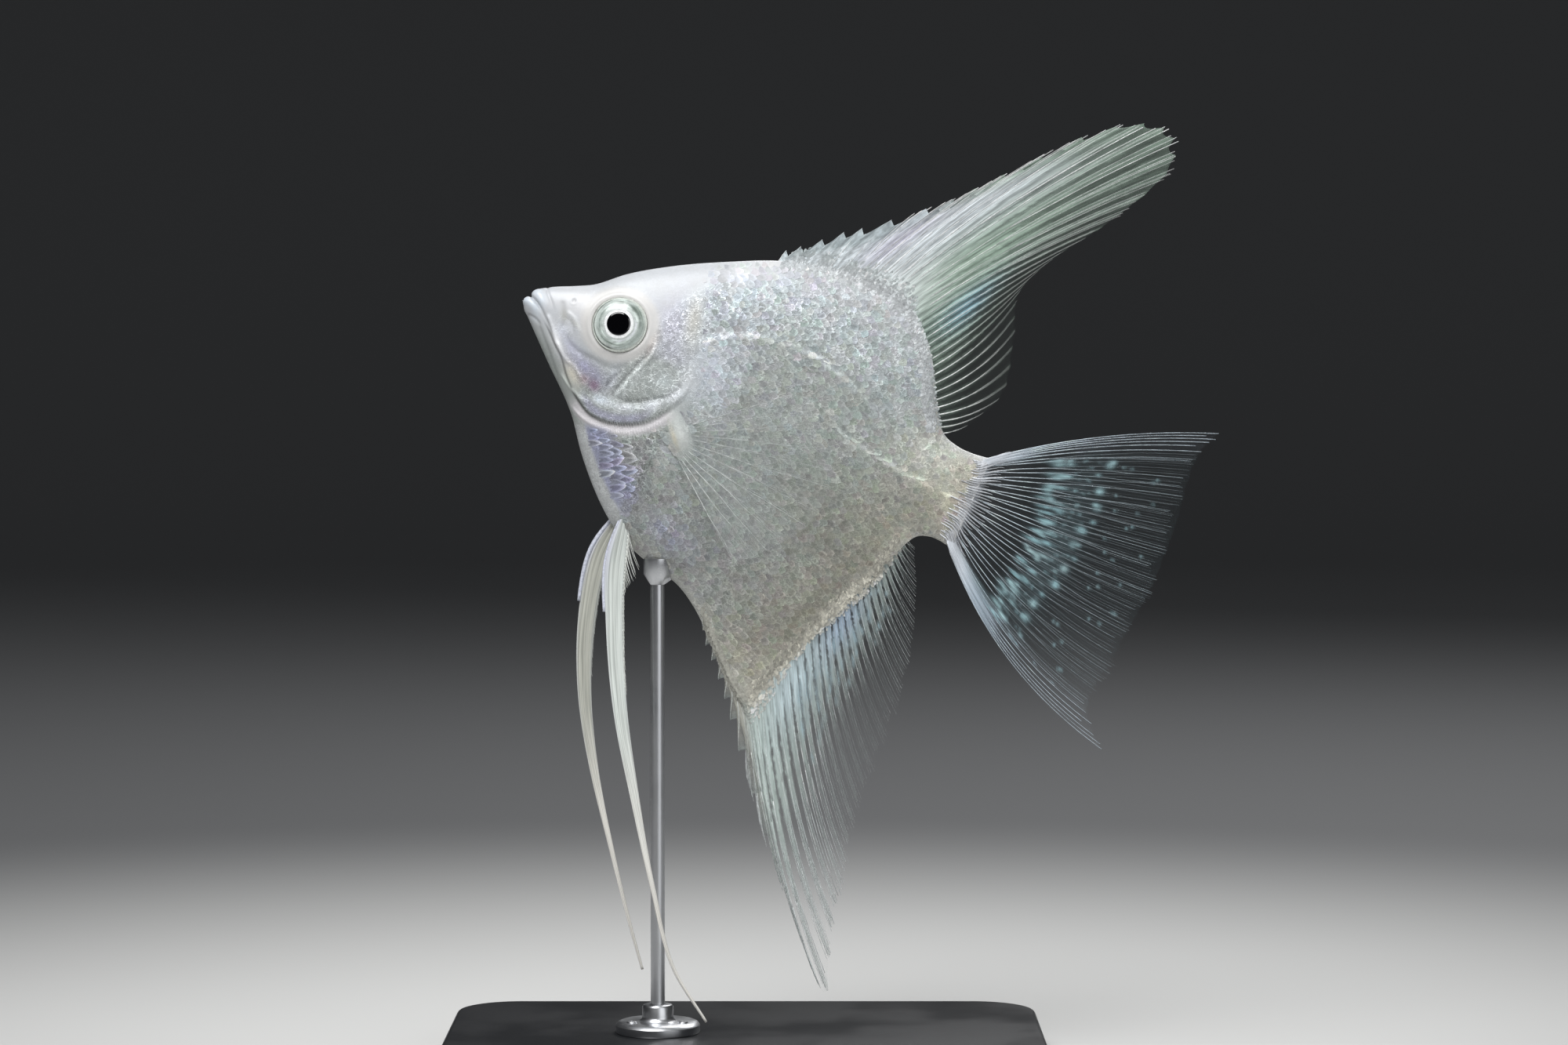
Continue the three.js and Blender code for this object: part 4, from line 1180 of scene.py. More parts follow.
def make_web(name, fin, solids, columns_each=8, rows=64):
    """The fin's skin: a grid with a column on each ray, its edge drawn back between the rays' tips."""
    rays = fin["rays"]
    sag = rng.uniform(0.7, 1.3, len(rays))
    grid = {}

    def place(u, v):
        where = np.round(u * (len(rays) - 1) * columns_each) / columns_each
        index = np.minimum(np.floor(where + 1e-6).astype(int), len(rays) - 2)
        share = (where - index) ** fin["lean"]
        at = rays[index] + (rays[index + 1] - rays[index]) * share
        drawn = fin["notch"](at) * (0.25 + sag[index] * np.sin(math.pi * share) ** 0.8)
        reach = np.maximum(1 - drawn / lengths(fin, at), 0.35)
        points = fin_point(fin, at, v * reach) + tooth(fin, at, share, v)
        pleat = fin["pleat"] * np.sin(math.pi * share) * np.where(index % 2, 1, -1)
        points[:, 1] += pleat * smooth(v, 0, 0.3)
        grid.update(at=at, v=v * reach, share=share, gap=index)
        return points

    web, _, _ = sheet(columns_each * (len(rays) - 1), rows, place)
    at, v, share = grid["at"], grid["v"], grid["share"]
    colour, veil = fin["look"](at, v)
    # Milky strips with ragged edges run along the rays, and leave the middle of each gap clearer.
    ragged = grain(at * 211 + share * 3, v * 70, 5) - 0.5
    gap = smooth(np.minimum(share, 1 - share) - fin["strip"](at, v) - 0.16 * ragged, -0.07, 0.07)
    veil = veil * (1 - gap * (1 - fin["clear"](at, v))) * (0.8 + 0.4 * grain(at * 160, v * 16, 5))
    colour = mix(colour, colour * 0.87, gap)
    if fin["spots"]:
        colour, veil = fin["spots"](colour, veil, grid["gap"], share, v)
    paint(web, colour, Veil=np.clip(veil, 0.01, 0.97))
    thick = web.vertex_groups.new(name="thick")
    for k, amount in enumerate(root_wall(v)):
        thick.add([k], float(amount), "REPLACE")
    solid = web.modifiers.new("wall", "SOLIDIFY")
    solid.thickness, solid.offset = fin["root_thickness"] * MM, 0
    solid.vertex_group = "thick"
    apply_modifiers(web)
    finish_piece(web, name + "_web", FIN_SKIN, solids)


def split_ray(start, centre, levels, faint, strength=1.0):
    """Runs of a ray that forks at each (share of length, spread) level, one branch of each fork fainter.
    Gives for each run its list of (v, offset), the number of forks still to come, and its strength."""
    if not levels:
        return [([(start, centre), (1, centre)], 0, strength)]
    (fork, spread), rest = levels[0], levels[1:]
    fork += 0.08 * (rng.random() - 0.5) * (fork > 0.2)
    runs = [([(start, centre), (fork, centre)], len(levels), strength)]
    main = rng.choice([-1, 1])
    for way in (-1, 1):
        share = 1.0 if way == main or fork < 0.1 else faint
        aside = centre + way * spread * rng.uniform(0.8, 1.2)
        branch = split_ray(min(fork + 0.16, 0.97), aside, rest, faint, strength * share)
        branch[0][0].insert(0, (fork - 0.005, centre))
        runs += branch
    return runs


RAY_STEPS = 26  # along a whole ray


def make_rays(name, fin):
    """The fin's rays: plain tapered spines, or soft rays that fork again and again towards the edge."""
    tubes = Tubes(4)
    rays = fin["rays"]
    gaps = np.gradient(rays)
    for k, at in enumerate(rays):
        spine = k < fin["spines"]
        levels = [] if spine else fin["forks"](at)
        reach = 1 + fin["fray"] * rng.uniform(-1, 1)
        for stops, depth, strength in split_ray(0, 0.0, levels, fin["faint"]):
            first, last = stops[0][0], stops[-1][0]
            v = np.linspace(first, last, max(4, int(RAY_STEPS * (last - first)) + 2))
            offset = np.interp(v, *np.array(stops).T) * gaps[k]
            u = np.clip(at + offset, 0, 1)
            tip = 1 if spine else reach - fin["fray"] * rng.random() * (depth == 0)
            line = fin_point(fin, u, v * tip if depth == 0 else v)
            line += tooth(fin, np.full(len(v), at), 0 * v, v)
            thin = 1 - 0.9 * v**1.6 if spine else 1 - fin["taper"](at) * v
            generation = len(levels) - depth
            radius = np.maximum(fin["ray_radius"](at) * 0.84**generation * thin, 0.025)
            colour, veil = fin["look"](u, v)
            bright, clear = fin["ray_look"](u, v)
            tone = mix(colour, fin["ray_tone"], bright) * rng.uniform(0.82, 1.08, len(v))[:, None]
            if not spine:
                clear = clear * strength * rng.uniform(1 - 0.1 * generation, 1)
                clear = clear * rng.uniform(0.7, 1, len(v))
            line[:, 1] += 0.03 * rng.uniform(-1, 1)
            opacity = np.clip(np.maximum(clear, veil * 0.8), 0.03, 1)
            tubes.add(line, radius, np.clip(tone, 0, 250), opacity, flat=1.2)
    tubes.finish(name + "_rays")


def flank_reach(x, z):
    """How far the body's surface stands from the middle plane, 0 outside its outline."""
    inside = (z < back(x) - 0.2) & (z > belly(x) + 0.2) & (x < BODY_LENGTH)
    return np.where(inside, section_point(x, angle_at(x, z, 1))[:, 1], 0)


SHEATH_CORNERS = 6  # of a small scale's outline


def make_sheath(name, fin, until, inward, outward, body_tone, fin_tone, count=3000):
    """Small loose scales that climb from inward of the body's edge to outward of it, both in mm, fewer and
    clearer the farther out."""
    u = rng.uniform(0.02, until, count)
    outward = outward * fin["scaly"](u)
    far = -inward + rng.beta(1.3, 2.2, count) * (inward + outward)
    v = np.minimum((fin["edge_at"](u) + far) / lengths(fin, u), 0.92)
    root, ahead = fin_point(fin, u, v), fin_point(fin, u, v + 0.02)
    run = ahead - root
    run[:, 1] = 0
    run /= np.linalg.norm(run, axis=1, keepdims=True)
    side = rng.choice([-1, 1], count)
    turn = rng.normal(0, 0.4, count)
    c, s, zero = np.cos(turn), np.sin(turn), 0 * turn
    along = np.stack([run[:, 0] * c - run[:, 2] * s, zero, run[:, 0] * s + run[:, 2] * c], -1)
    across = np.stack([-along[:, 2], zero, along[:, 0]], -1)
    size = rng.uniform(0.5, 1.0, count) * (1 - 0.5 * smooth(far, 0, outward))
    n = SHEATH_CORNERS
    corner = np.linspace(0, 2 * math.pi, n, endpoint=False)
    a = np.append(0.72 * np.cos(corner), 0)[None, :, None]
    b = np.append(0.36 * np.sin(corner), 0)[None, :, None]
    rim = root[:, None] + size[:, None, None] * (along[:, None] * a + across[:, None] * b)
    wall = 0.5 * fin["root_thickness"] * root_wall(v)
    reach = flank_reach(rim[..., 0].ravel(), rim[..., 2].ravel()).reshape(count, n + 1)
    tilt = 0.03 * a[..., 0] * size[:, None]
    above = np.maximum(wall[:, None], reach) + 0.03 + tilt + 0.012 * (np.arange(n + 1) == n)
    rim[:, :, 1] += side[:, None] * above
    under = rim[:, n:].copy()
    under[:, :, 1] -= side[:, None] * 0.16
    points = np.concatenate([rim, under], 1)
    per = n + 2
    faces = []
    for k in range(count):
        o = k * per
        for c in range(n):
            after = (c + 1) % n
            pair = [(o + c, o + after, o + n), (o + after, o + c, o + n + 1)]
            faces += pair if side[k] < 0 else [f[::-1] for f in pair]
    plain = fin["plain"](u)
    on_fin = smooth(far, -0.5, 0.6 * outward)
    tone = layered(body_tone, (fin_tone, on_fin), (fin["look"](u, v)[0], 0.75 * plain))
    bright = 0.86 + 0.3 * rng.random(count) ** 2
    colour = np.repeat(tone * (bright + (0.96 - bright) * 0.7 * plain)[:, None], per, axis=0)
    # Painted shade: each small scale's point underneath is darkened.
    colour[per - 1 :: per] *= 0.9
    veil = rng.uniform(0.6, 1, count) * (1 - 0.45 * smooth(far, 0, outward)) * (1 - 0.35 * plain)
    colour = np.clip(colour, 0, 250)
    piece = from_arrays(name, points.reshape(-1, 3), faces, colour, Veil=np.repeat(veil, per))
    finish_piece(piece, name, RAY, smooth_angle=30)


def always(value):
    return lambda u, *_: value + 0 * u


# What the fins have in common, unless a fin says otherwise. u runs along the root, v from root to edge, and
# lengths are in mm. A fin's own table also gives its root, tip, look, rays and what they look like.
# arch: how the rays bow. notch: how far the edge is drawn back between rays. step: how far a spine's tip
# stands out. lean: how much the web's grid gathers behind each ray. faint: a fork's weaker branch.
# strip, clear: the milky strip's half width and the clear gap's opacity. spots: what is painted in gaps.
# fray: how uneven the tips are. pleat: how far the web swings from side to side.
FIN = {
    "arch": always(0),
    "notch": always(0.3),
    "step": always(0),
    "lean": 1.0,
    "faint": 0.35,
    "strip": always(0.75),
    "clear": always(1),
    "spots": None,
    "spines": 0,
    "fray": 0.03,
    "pleat": 0.08,
    "root_thickness": 1.0,
}
ROOT_DEPTH = 1.6


def sunk_root(*points):
    """The dorsal fin's root, set down into the back."""
    return [(u, x - ROOT_DEPTH * float(smooth(u, 0.3, 0.8)), z - ROOT_DEPTH) for u, x, z in points]


def dorsal_look(u, v):
    colour = layered(
        (168, 190, 174),
        ((230, 238, 242), smooth(0.52 - u, 0, 0.12) * smooth(0.98 - v, 0, 0.4)),
        ((206, 218, 222), smooth(0.33 - u, 0, 0.06) * smooth(v, 0.5, 0.8)),
        ((222, 218, 238), spot(u, v, 0.3, 0.5, 0.05, 0.4) * 0.7),
        ((238, 244, 244), smooth(0.3 - v, 0, 0.3) * smooth(0.68 - u, 0, 0.2) * 0.9),
        ((166, 208, 224), spot(u, v, 0.66, 0.36, 0.06, 0.2) * 0.9),
    )
    veil = 0.9 - 0.42 * smooth(v, 0.4, 0.95)
    veil *= 1 - 0.5 * smooth(u, 0.41, 0.52) * smooth(v, 0.25, 0.65)
    veil *= 1 - 0.66 * smooth(u, 0.54 - 0.05 * smooth(v, 0.3, 0.6), 0.68) - 0.3 * smooth(u, 0.7, 0.84)
    veil += 0.3 * spot(u, v, 0.66, 0.36, 0.06, 0.2) + 0.05 * smooth(u, 0.66, 0.76)
    veil += 0.5 * smooth(0.1 - v, 0, 0.1)
    veil = np.where(u < 0.27, np.maximum(veil, 0.84 - 0.3 * smooth(v, 0.3, 1)), veil)
    return colour, np.clip(veil, 0.03, 0.97)


def dorsal_strip(u, v):
    return 0.36 - 0.16 * smooth(u, 0.52, 0.66) * smooth(v, 0.1, 0.5) - 0.08 * smooth(v, 0.3, 0.8)


def dorsal_clear(u, v):
    return 0.88 - 0.3 * smooth(u, 0.36, 0.48) * smooth(v, 0.1, 0.5) - 0.38 * smooth(u, 0.52, 0.66)


def dorsal_rays_look(u, v):
    bright = 0.7 + 0.2 * smooth(u, 0.42, 0.6) + 0.3 * smooth(v, 0.3, 0.7)
    fade = 0.9 * smooth(u, 0.47, 0.57) - 0.08 * smooth(u, 0.76, 0.84)
    return np.clip(bright, 0, 1), 1 - smooth(v, 0.15, 0.62 + 0.3 * smooth(u, 0.76, 0.84)) * fade


def dorsal_notch(u):
    return 0.3 + 0.2 * smooth(u, 0.3, 0.4) * smooth(0.6 - u, 0, 0.1) + 0.9 * bell(u - 0.47, 0.06)


def dorsal_step(u):
    return -0.95 * smooth(0.31 - u, 0, 0.04) - 0.6 * smooth(0.44 - u, 0, 0.04) * smooth(u, 0.27, 0.31)


# sway: the fin's y. edge_at: how deep the root lies in the body. forks: (share of a ray's length, spread).
# scaly, plain: how far scales climb and how much they look like the fin. taper: how thin a ray ends.
dorsal = FIN | {
    "root": path(*sunk_root(
        (0, 32.6, 21.3), (0.12, 37.5, 22.9), (0.3, 44.5, 24.3), (0.46, 50.8, 24), (0.6, 56.3, 21.8),
        (0.74, 60.6, 17.6), (0.88, 63.8, 12), (1, 66.2, 8.5),
    )),
    "tip": path(
        (0, 33.8, 23.2), (0.07, 36.7, 25.6), (0.14, 40.8, 29.4), (0.22, 45, 32.6), (0.29, 53.2, 40.2),
        (0.35, 60, 48.2), (0.4, 68.6, 58.2), (0.44, 74.8, 63.2), (0.49, 80.4, 63.8), (0.54, 82, 58.6),
        (0.6, 77.6, 49), (0.7, 71, 38.6), (0.78, 68.6, 32), (0.86, 70.7, 25.6), (0.94, 72.6, 17),
        (1, 69.6, 10.2),
    ),
    "arch": lambda u: 0.03 - 0.11 * smooth(u, 0.6, 0.85),
    "sway": lambda u, v: v * v * (2.2 * smooth(u, 0.55, 0.9) - 1.4 * smooth(u, 0.3, 0.5)),
    "notch": dorsal_notch,
    "step": dorsal_step,
    "lean": 1.6,
    "faint": 0.6,
    "strip": dorsal_strip,
    "clear": dorsal_clear,
    "edge_at": always(ROOT_DEPTH),
    "rays": np.concatenate([[0, 0.045, 0.096, 0.138, 0.188, 0.236], np.linspace(0.27, 1, 30)]),
    "spines": 6,
    "forks": lambda u: [(0.08, 0.11), (0.42, 0.14)] if u < 0.62 else [(0.5, 0.06)],
    "scaly": lambda u: 1 - 0.85 * smooth(u, 0.48, 0.62),
    "plain": lambda u: 0.4 * smooth(0.3 - u, 0, 0.1),
    "fray": 0.025,
    "ray_radius": lambda u: 0.135 - 0.015 * smooth(u, 0.62, 0.72),
    "taper": lambda u: 0.3 + 0.4 * smooth(u, 0.6, 0.7),
    "ray_tone": (250, 252, 252),
    "ray_look": dorsal_rays_look,
    "look": dorsal_look,
}


def anal_look(u, v):
    colour = layered(
        (176, 188, 184),
        ((172, 172, 163), smooth(0.37 - u, 0, 0.1) * smooth(1.1 - v, 0, 0.4)),
        ((201, 215, 209), spot(u, v, 0.38, 0.3, 0.07, 0.5) * 0.9),
        ((204, 222, 228), spot(u, v, 0.5, 0.14, 0.1, 0.16) * 0.9),
        ((174, 194, 218), spot(u, v, 0.68, 0.14, 0.1, 0.16) * 0.8),
        ((214, 214, 204), smooth(0.06 - v, 0, 0.05)),
    )
    veil = 0.92 - 0.7 * smooth(v, 0.3, 0.72)
    veil *= 1 - 0.45 * smooth(u, 0.4, 0.54) * smooth(v, 0.15, 0.45)
    veil *= 1 - 0.35 * smooth(u, 0.6, 0.85)
    veil *= 1 - 0.7 * smooth(u, 0.5, 0.7) * smooth(v, 0.3, 0.7)
    veil += 0.5 * smooth(0.06 - v, 0, 0.05)
    return colour, np.clip(veil, 0.03, 0.95)


def anal_gap_start(u):
    """Where along a ray the clear gap beside it opens: at once at the rear, farther out in front."""
    return 0.21 - 0.16 * smooth(u, 0.38, 0.6)


def anal_strip(u, v):
    start = anal_gap_start(u)
    soft = 0.5 - 0.13 * smooth(v, start - 0.04, start + 0.05) - 0.23 * smooth(v, start + 0.12, start + 0.5)
    return np.where(u < 0.33, 0.75, soft)


def anal_clear(u, v):
    start = anal_gap_start(u)
    return 0.5 - 0.44 * smooth(u, 0.34, 0.38) * smooth(v, start - 0.04, start + 0.04)


def fleck(gap_share, v, middle, across, half_v, half_share):
    """A soft streak in a gap: its middle as v and share of the gap, and its half sizes."""
    return np.exp(-((np.abs(v - middle) / half_v) ** 2) - ((np.abs(gap_share - across) / half_share) ** 2))


def anal_flecks(colour, veil, gap, share, v):
    """Pale blue flecks scattered in the clear gaps of the rear half."""
    picks = np.random.default_rng(5)
    for k in range(gap.max() + 1):
        run = k / gap.max()
        for _ in range(7):
            middle, across = picks.uniform(0.16, 0.5), picks.uniform(0.15, 0.85)
            strength = picks.uniform(0.2, 0.7)
            if 0.45 < run < 0.85:
                mask = fleck(share, v, middle, across, 0.03, 0.2) * (gap == k) * strength
                colour = mix(colour, (176, 204, 216), mask)
                veil = veil + (0.7 - veil) * mask
    return colour, veil


def anal_rays_look(u, v):
    rear = smooth(u, 0.44, 0.6)
    fade = 0.15 + 0.75 * rear - 0.3 * smooth(u, 0.7, 0.85)
    fade *= smooth(v, 0.25 - 0.15 * rear, 0.95 - 0.2 * rear)
    return 0.5 + 0.4 * smooth(v, 0.15, 0.4), 1 - np.clip(fade, 0, 0.92)


anal = FIN | {
    "root": path(
        (0, 43.6, -31.6), (0.1, 47.5, -35.2), (0.2, 51.6, -39), (0.29, 54.8, -41.2), (0.36, 55.8, -40.2),
        (0.5, 58.9, -31.4), (0.58, 60.7, -26.6), (0.67, 62.5, -22.3), (0.75, 64.2, -18.8),
        (0.83, 65.6, -15), (0.92, 66.4, -11.4), (1, 67.2, -8.6),
    ),
    "tip": path(
        (0, 45.2, -34.3), (0.1, 49.4, -38.4), (0.18, 53.4, -42.8), (0.24, 57.6, -48), (0.29, 65, -56.8),
        (0.34, 74.8, -68.2), (0.39, 85.5, -78.8), (0.44, 83, -70.4), (0.5, 81.2, -62.6), (0.6, 78.4, -50),
        (0.72, 78, -37), (0.82, 76.8, -27), (0.91, 74, -17.8), (1, 70.2, -10.2),
    ),
    "arch": lambda u: -0.042 * smooth(u, 0.25, 0.4),
    "sway": lambda u, v: v * v * (5.5 * smooth(u, 0.4, 0.9) + 1.6 * smooth(u, 0.25, 0.4)),
    "notch": lambda u: 0.35 + 1.5 * smooth(u, 0.38, 0.46),
    "step": lambda u: 1.3 * smooth(0.34 - u, 0, 0.03) * smooth(u, 0, 0.05),
    "lean": 1.6,
    "faint": 0.6,
    "strip": anal_strip,
    "clear": anal_clear,
    "edge_at": always(1.5),
    "scaly": lambda u: (1 - 0.66 * smooth(u, 0.4, 0.52)) * (0.35 + 0.65 * smooth(u, 0.27, 0.37)),
    "plain": lambda u: smooth(0.37 - u, 0, 0.06),
    "spots": anal_flecks,
    "rays": np.concatenate([[0, 0.05, 0.092, 0.138, 0.178, 0.214, 0.248], np.linspace(0.278, 1, 30)]),
    "spines": 7,
    "forks": lambda u: [(0.08, 0.13), (0.4, 0.08), (0.7, 0.05)] if u < 0.46 else [(0.03, 0.23), (0.5, 0.1)],
    "ray_radius": lambda u: 0.125 - 0.035 * smooth(u, 0.42, 0.6),
    "taper": always(0.35),
    "ray_tone": (240, 246, 246),
    "ray_look": anal_rays_look,
    "look": anal_look,
}


def caudal_look(u, v):
    edge = np.maximum(smooth(0.1 - u, 0, 0.06), smooth(u, 0.86, 0.93))
    colour = layered((112, 136, 142), ((176, 190, 202), edge), ((226, 232, 240), smooth(0.3 - v, 0, 0.24)))
    veil = 0.015 + 0.85 * edge * smooth(0.3 + 0.2 * u - v, 0, 0.26) + 0.6 * smooth(0.05 - v, 0, 0.05)
    veil += 0.1 * spot(u, v, 0.5, 0.49, 0.4, 0.1)
    return colour, np.clip(veil, 0.012, 0.95)


def scattered(picks, count, at, along, across, half_v, half_share, strength):
    """Random streaks: along beyond at, across the gap, and their half sizes. Ranges are (low, high)."""
    streaks = []
    for _ in range(count):
        middle, aside = at + picks.uniform(*along), picks.uniform(*across)
        half = half_v if np.isscalar(half_v) else picks.uniform(*half_v)
        streaks.append((middle, aside, half, half_share, strength))
    return streaks


def caudal_spots(colour, veil, gap, share, v):
    """Turquoise dashes between the rays: a crowded inner band, a sparse outer one and some stray dots."""
    picks = np.random.default_rng(8)
    count = gap.max() + 1
    for k in range(count):
        run = k / count
        inner, outer = 0.36 + 0.05 * run + 0.02 * (run - 0.5) ** 2, 0.62 - 0.1 * run
        dashes = [
            *scattered(picks, 6, inner, (-0.05, 0.06), (0.08, 0.92), (0.015, 0.04), 0.14, 0.8),
            *scattered(picks, 1, outer, (-0.02, 0.02), (0.3, 0.7), 0.02, 0.26, 0.8 * (k % 3 != 1)),
            *scattered(picks, 1, outer, (-0.03, 0.03), (0.1, 0.9), 0.014, 0.14, 0.8),
            *scattered(picks, 2, 0, (0.66, 0.95), (0.2, 0.8), 0.008, 0.1, 0.6),
            *scattered(picks, 6, 0, (0.42, 0.56), (0.1, 0.9), 0.008, 0.1, 0.35),
        ]
        tint = mix(np.array([186.0, 216, 218]), (150, 194, 202), np.array(picks.uniform()))
        if not 0.22 < run < 0.8:
            continue
        for middle, across, half_v, half_share, strength in dashes:
            mask = fleck(share, v, middle, across, half_v, half_share) * (gap == k)
            mask = mask * strength * picks.uniform(0.55, 1)
            colour = mix(colour, tint, mask)
            veil = veil + (0.9 - veil) * mask
    return colour, veil


def caudal_rays_look(u, v):
    middle, low = smooth(0.5 - np.abs(u - 0.5), 0.02, 0.12), smooth(u, 0.86, 0.92)
    fade = smooth(v, 0.08, 0.6) * (0.6 - 0.16 * middle - 0.2 * low)
    return 0.95 - 0.3 * v, 1 - 0.2 * middle - fade


caudal = FIN | {
    "root": path((0, 74, 6.6), (0.5, 74.6, -0.2), (1, 74, -7.2)),
    "tip": path(
        (0, 105.4, 24.9), (0.06, 104.2, 21.6), (0.3, 105.4, 9.4), (0.5, 105.8, -0.4), (0.72, 104.8, -11.4),
        (0.92, 104.4, -22.4), (1, 108.4, -26.4),
    ),
    "arch": lambda u: 0.04 - 0.12 * u,
    "sway": lambda u, v: v * v * 2.4 * np.sin(math.pi * (u * 1.3 + 0.15)),
    "notch": always(0.2),
    "rays": np.concatenate([
        [0, 0.01, 0.021, 0.033, 0.047, 0.066], np.linspace(0.095, 0.895, 15),
        [0.92, 0.94, 0.957, 0.973, 0.987, 1],
    ]),
    "forks": lambda u: [(0.02, 0.2), (0.32, 0.15), (0.6, 0.09)] if 0.08 < u < 0.91 else [],
    "ray_radius": lambda u: 0.08 - 0.018 * smooth(u, 0.88, 0.92),
    "taper": always(0.3),
    "ray_tone": (228, 241, 250),
    "ray_look": caudal_rays_look,
    "root_thickness": 1.5,
    "look": caudal_look,
    "spots": caudal_spots,
}

make_web("dorsal", dorsal, ["dorsal_fin"])
make_rays("dorsal", dorsal)
make_sheath("dorsal_sheath", dorsal, 0.99, 1.6, 3.8, (214, 218, 220), (228, 236, 236))
make_web("anal", anal, ["anal_fin"])
make_rays("anal", anal)
make_sheath("anal_sheath", anal, 0.97, 2.6, 4.2, (214, 211, 198), (250, 250, 243))
make_web("caudal", caudal, ["caudal_fin"], columns_each=11, rows=84)
make_rays("caudal", caudal)


def make_ray_roots():
    """The pale roots of the tail fin's rays, spread over the end of the body on both sides."""
    tubes = Tubes(5)
    between = (caudal["rays"][1:] + caudal["rays"][:-1]) / 2
    for side in SIDES.values():
        for at in np.concatenate([caudal["rays"], between]):
            end = fin_point(caudal, np.array([at]), np.array([rng.uniform(0.06, 0.13)]))[0]
            start = rng.uniform(71.4, 73.8) + 3 * (at - 0.5) ** 2
            t = np.linspace(0, 1, 12)
            x = start + (end[0] - start) * t
            level = caudal["root"](at)[1]
            z = level * (0.9 + 0.1 * t) + (end[2] - level) * smooth(x, 73.5, end[0] + 0.1)
            on_body = np.minimum(x, BODY_LENGTH - 0.3)
            y = section_point(on_body, angle_at(on_body, z, 1))[:, 1] + 0.1
            y = y + (0.12 - y) * smooth(x, 74.2, end[0])
            radius = 0.04 + 0.12 * np.sin(math.pi * np.clip(t * 1.1, 0, 1)) ** 0.7 * (1 - 0.5 * t)
            tone = np.array((222.0, 225, 230)) * rng.uniform(0.86, 1.1)
            tubes.add(np.stack([x, side * y, z], -1), radius, tone, veil=1 - 0.5 * t)
    tubes.finish("caudal_roots")


make_ray_roots()


def pectoral_look(u, v):
    colour = np.full(u.shape + (3,), (190.0, 198, 196))
    return colour, np.clip(0.07 + 0.2 * smooth(0.12 - v, 0, 0.1), 0, 0.9)


def pectoral_rays_look(u, v):
    strong = 0.56 + 0.4 * smooth(u, 0.45, 0.75) + 0.4 * smooth(0.06 - u, 0, 0.04)
    bright = 0.62 + 0.32 * smooth(u, 0.3, 0.7)
    return bright, np.clip(strong * (1 - 0.4 * smooth(v, 0.4, 1)) * smooth(v, 0, 0.12), 0, 0.96)


HINGE_X, HINGE_Z = 31.4, -9.6
SIDE_FIN_LENGTH = 24  # mm


def make_side_fin(side_name):
    """A clear fan of rays from the pad behind the gill cover."""
    side = SIDES[side_name]
    spread = through((0, 0.72), (0.3, 0.32), (0.6, -0.1), (1, -0.65))
    share = through((0, 0.74), (0.25, 0.93), (0.55, 0.98), (0.78, 0.86), (1, 0.76))
    flank = half_width(HINGE_X) * 0.9

    def root(u):
        return HINGE_X - 1 + 0.8 * u, HINGE_Z + 2.4 * (1 - 2 * u)

    def tip(u):
        x, z = root(u)
        length = SIDE_FIN_LENGTH * share(u)
        return x + length * np.cos(spread(u)), z + length * np.sin(spread(u))

    fin = FIN | {
        "root": root,
        "tip": tip,
        "sway": lambda u, v: side * (flank + SIDE_FIN_LENGTH * v * (0.3 - 0.1 * v)),
        "rays": np.linspace(0, 1, 12),
        "forks": lambda u: [(0.12, 0.05), (0.5, 0.14)],
        "ray_radius": always(0.085),
        "taper": always(0.45),
        "ray_tone": (232, 235, 233),
        "ray_look": pectoral_rays_look,
        "root_thickness": 0.8,
        "pleat": 0.05,
        "look": pectoral_look,
    }
    make_web("pectoral_" + side_name, fin, ["pectoral_fin_" + side_name], rows=24)
    make_rays("pectoral_" + side_name, fin)


for side_name in SIDES:
    make_side_fin(side_name)

PELVIC = {
    "left": path(
        (0, 27.4, -23.4), (0.1, 28.9, -30.6), (0.21, 32, -37.8), (0.42, 38.6, -50.4), (0.62, 46, -61.6),
        (0.8, 54.6, -73.8), (0.92, 62.4, -83.6), (1, 70.2, -89),
    ),
    "right": path(
        (0, 26.6, -23.6), (0.1, 26, -30.6), (0.21, 27.7, -38.4), (0.42, 32.3, -50.4), (0.62, 38.6, -61.2),
        (0.8, 46.6, -72.2), (0.92, 53.4, -81), (1, 58.3, -87),
    ),
}
thread = (0.5, 0.95), (0.75, 0.45), (1, 0.2)
pelvic_front = through((0, 0.5), (0.05, 1.1), (0.1, 1.4), (0.19, 1.35), (0.3, 1.25), *thread)
pelvic_rear = through((0, 0.5), (0.05, 1.4), (0.1, 1.7), (0.19, 1.5), (0.3, 1.3), *thread)


def pelvic_frame(line, side, v):
    """Centre points of a belly fin and the direction across it, from front to rear."""
    x, z = line(v)
    x1, z1 = line(np.minimum(v + 0.01, 1))
    x0, z0 = line(np.maximum(v - 0.01, 0))
    length = np.hypot(x1 - x0, z1 - z0)
    across = np.stack([-(z1 - z0) / length, 0 * v, (x1 - x0) / length], -1)
    centre = np.stack([x, side * (1.5 + 3.4 * smooth(v, 0, 0.7)), z], -1)
    return centre, across


def close_ends():
    """Fills the open rims of the piece in edit mode."""
    bpy.ops.mesh.select_all(action="DESELECT")
    bpy.ops.mesh.select_mode(type="EDGE")
    bpy.ops.mesh.select_non_manifold(extend=False)
    bpy.ops.mesh.edge_face_add()
    bpy.ops.mesh.select_mode(type="VERT")


# The right belly fin, on the far side, is given a darker, warmer tone: painted shade.
BELLY_FIN_TONES_FAR_SHADED = {"left": (213, 219, 214), "right": (196, 197, 187)}
RIBBON_GRID = (36, 110)  # round the ribbon, and along it
RIBBON_RIBS = 9
SPINE_END = 0.205  # share of the ribbon's run
FRINGE_HAIRS = 44


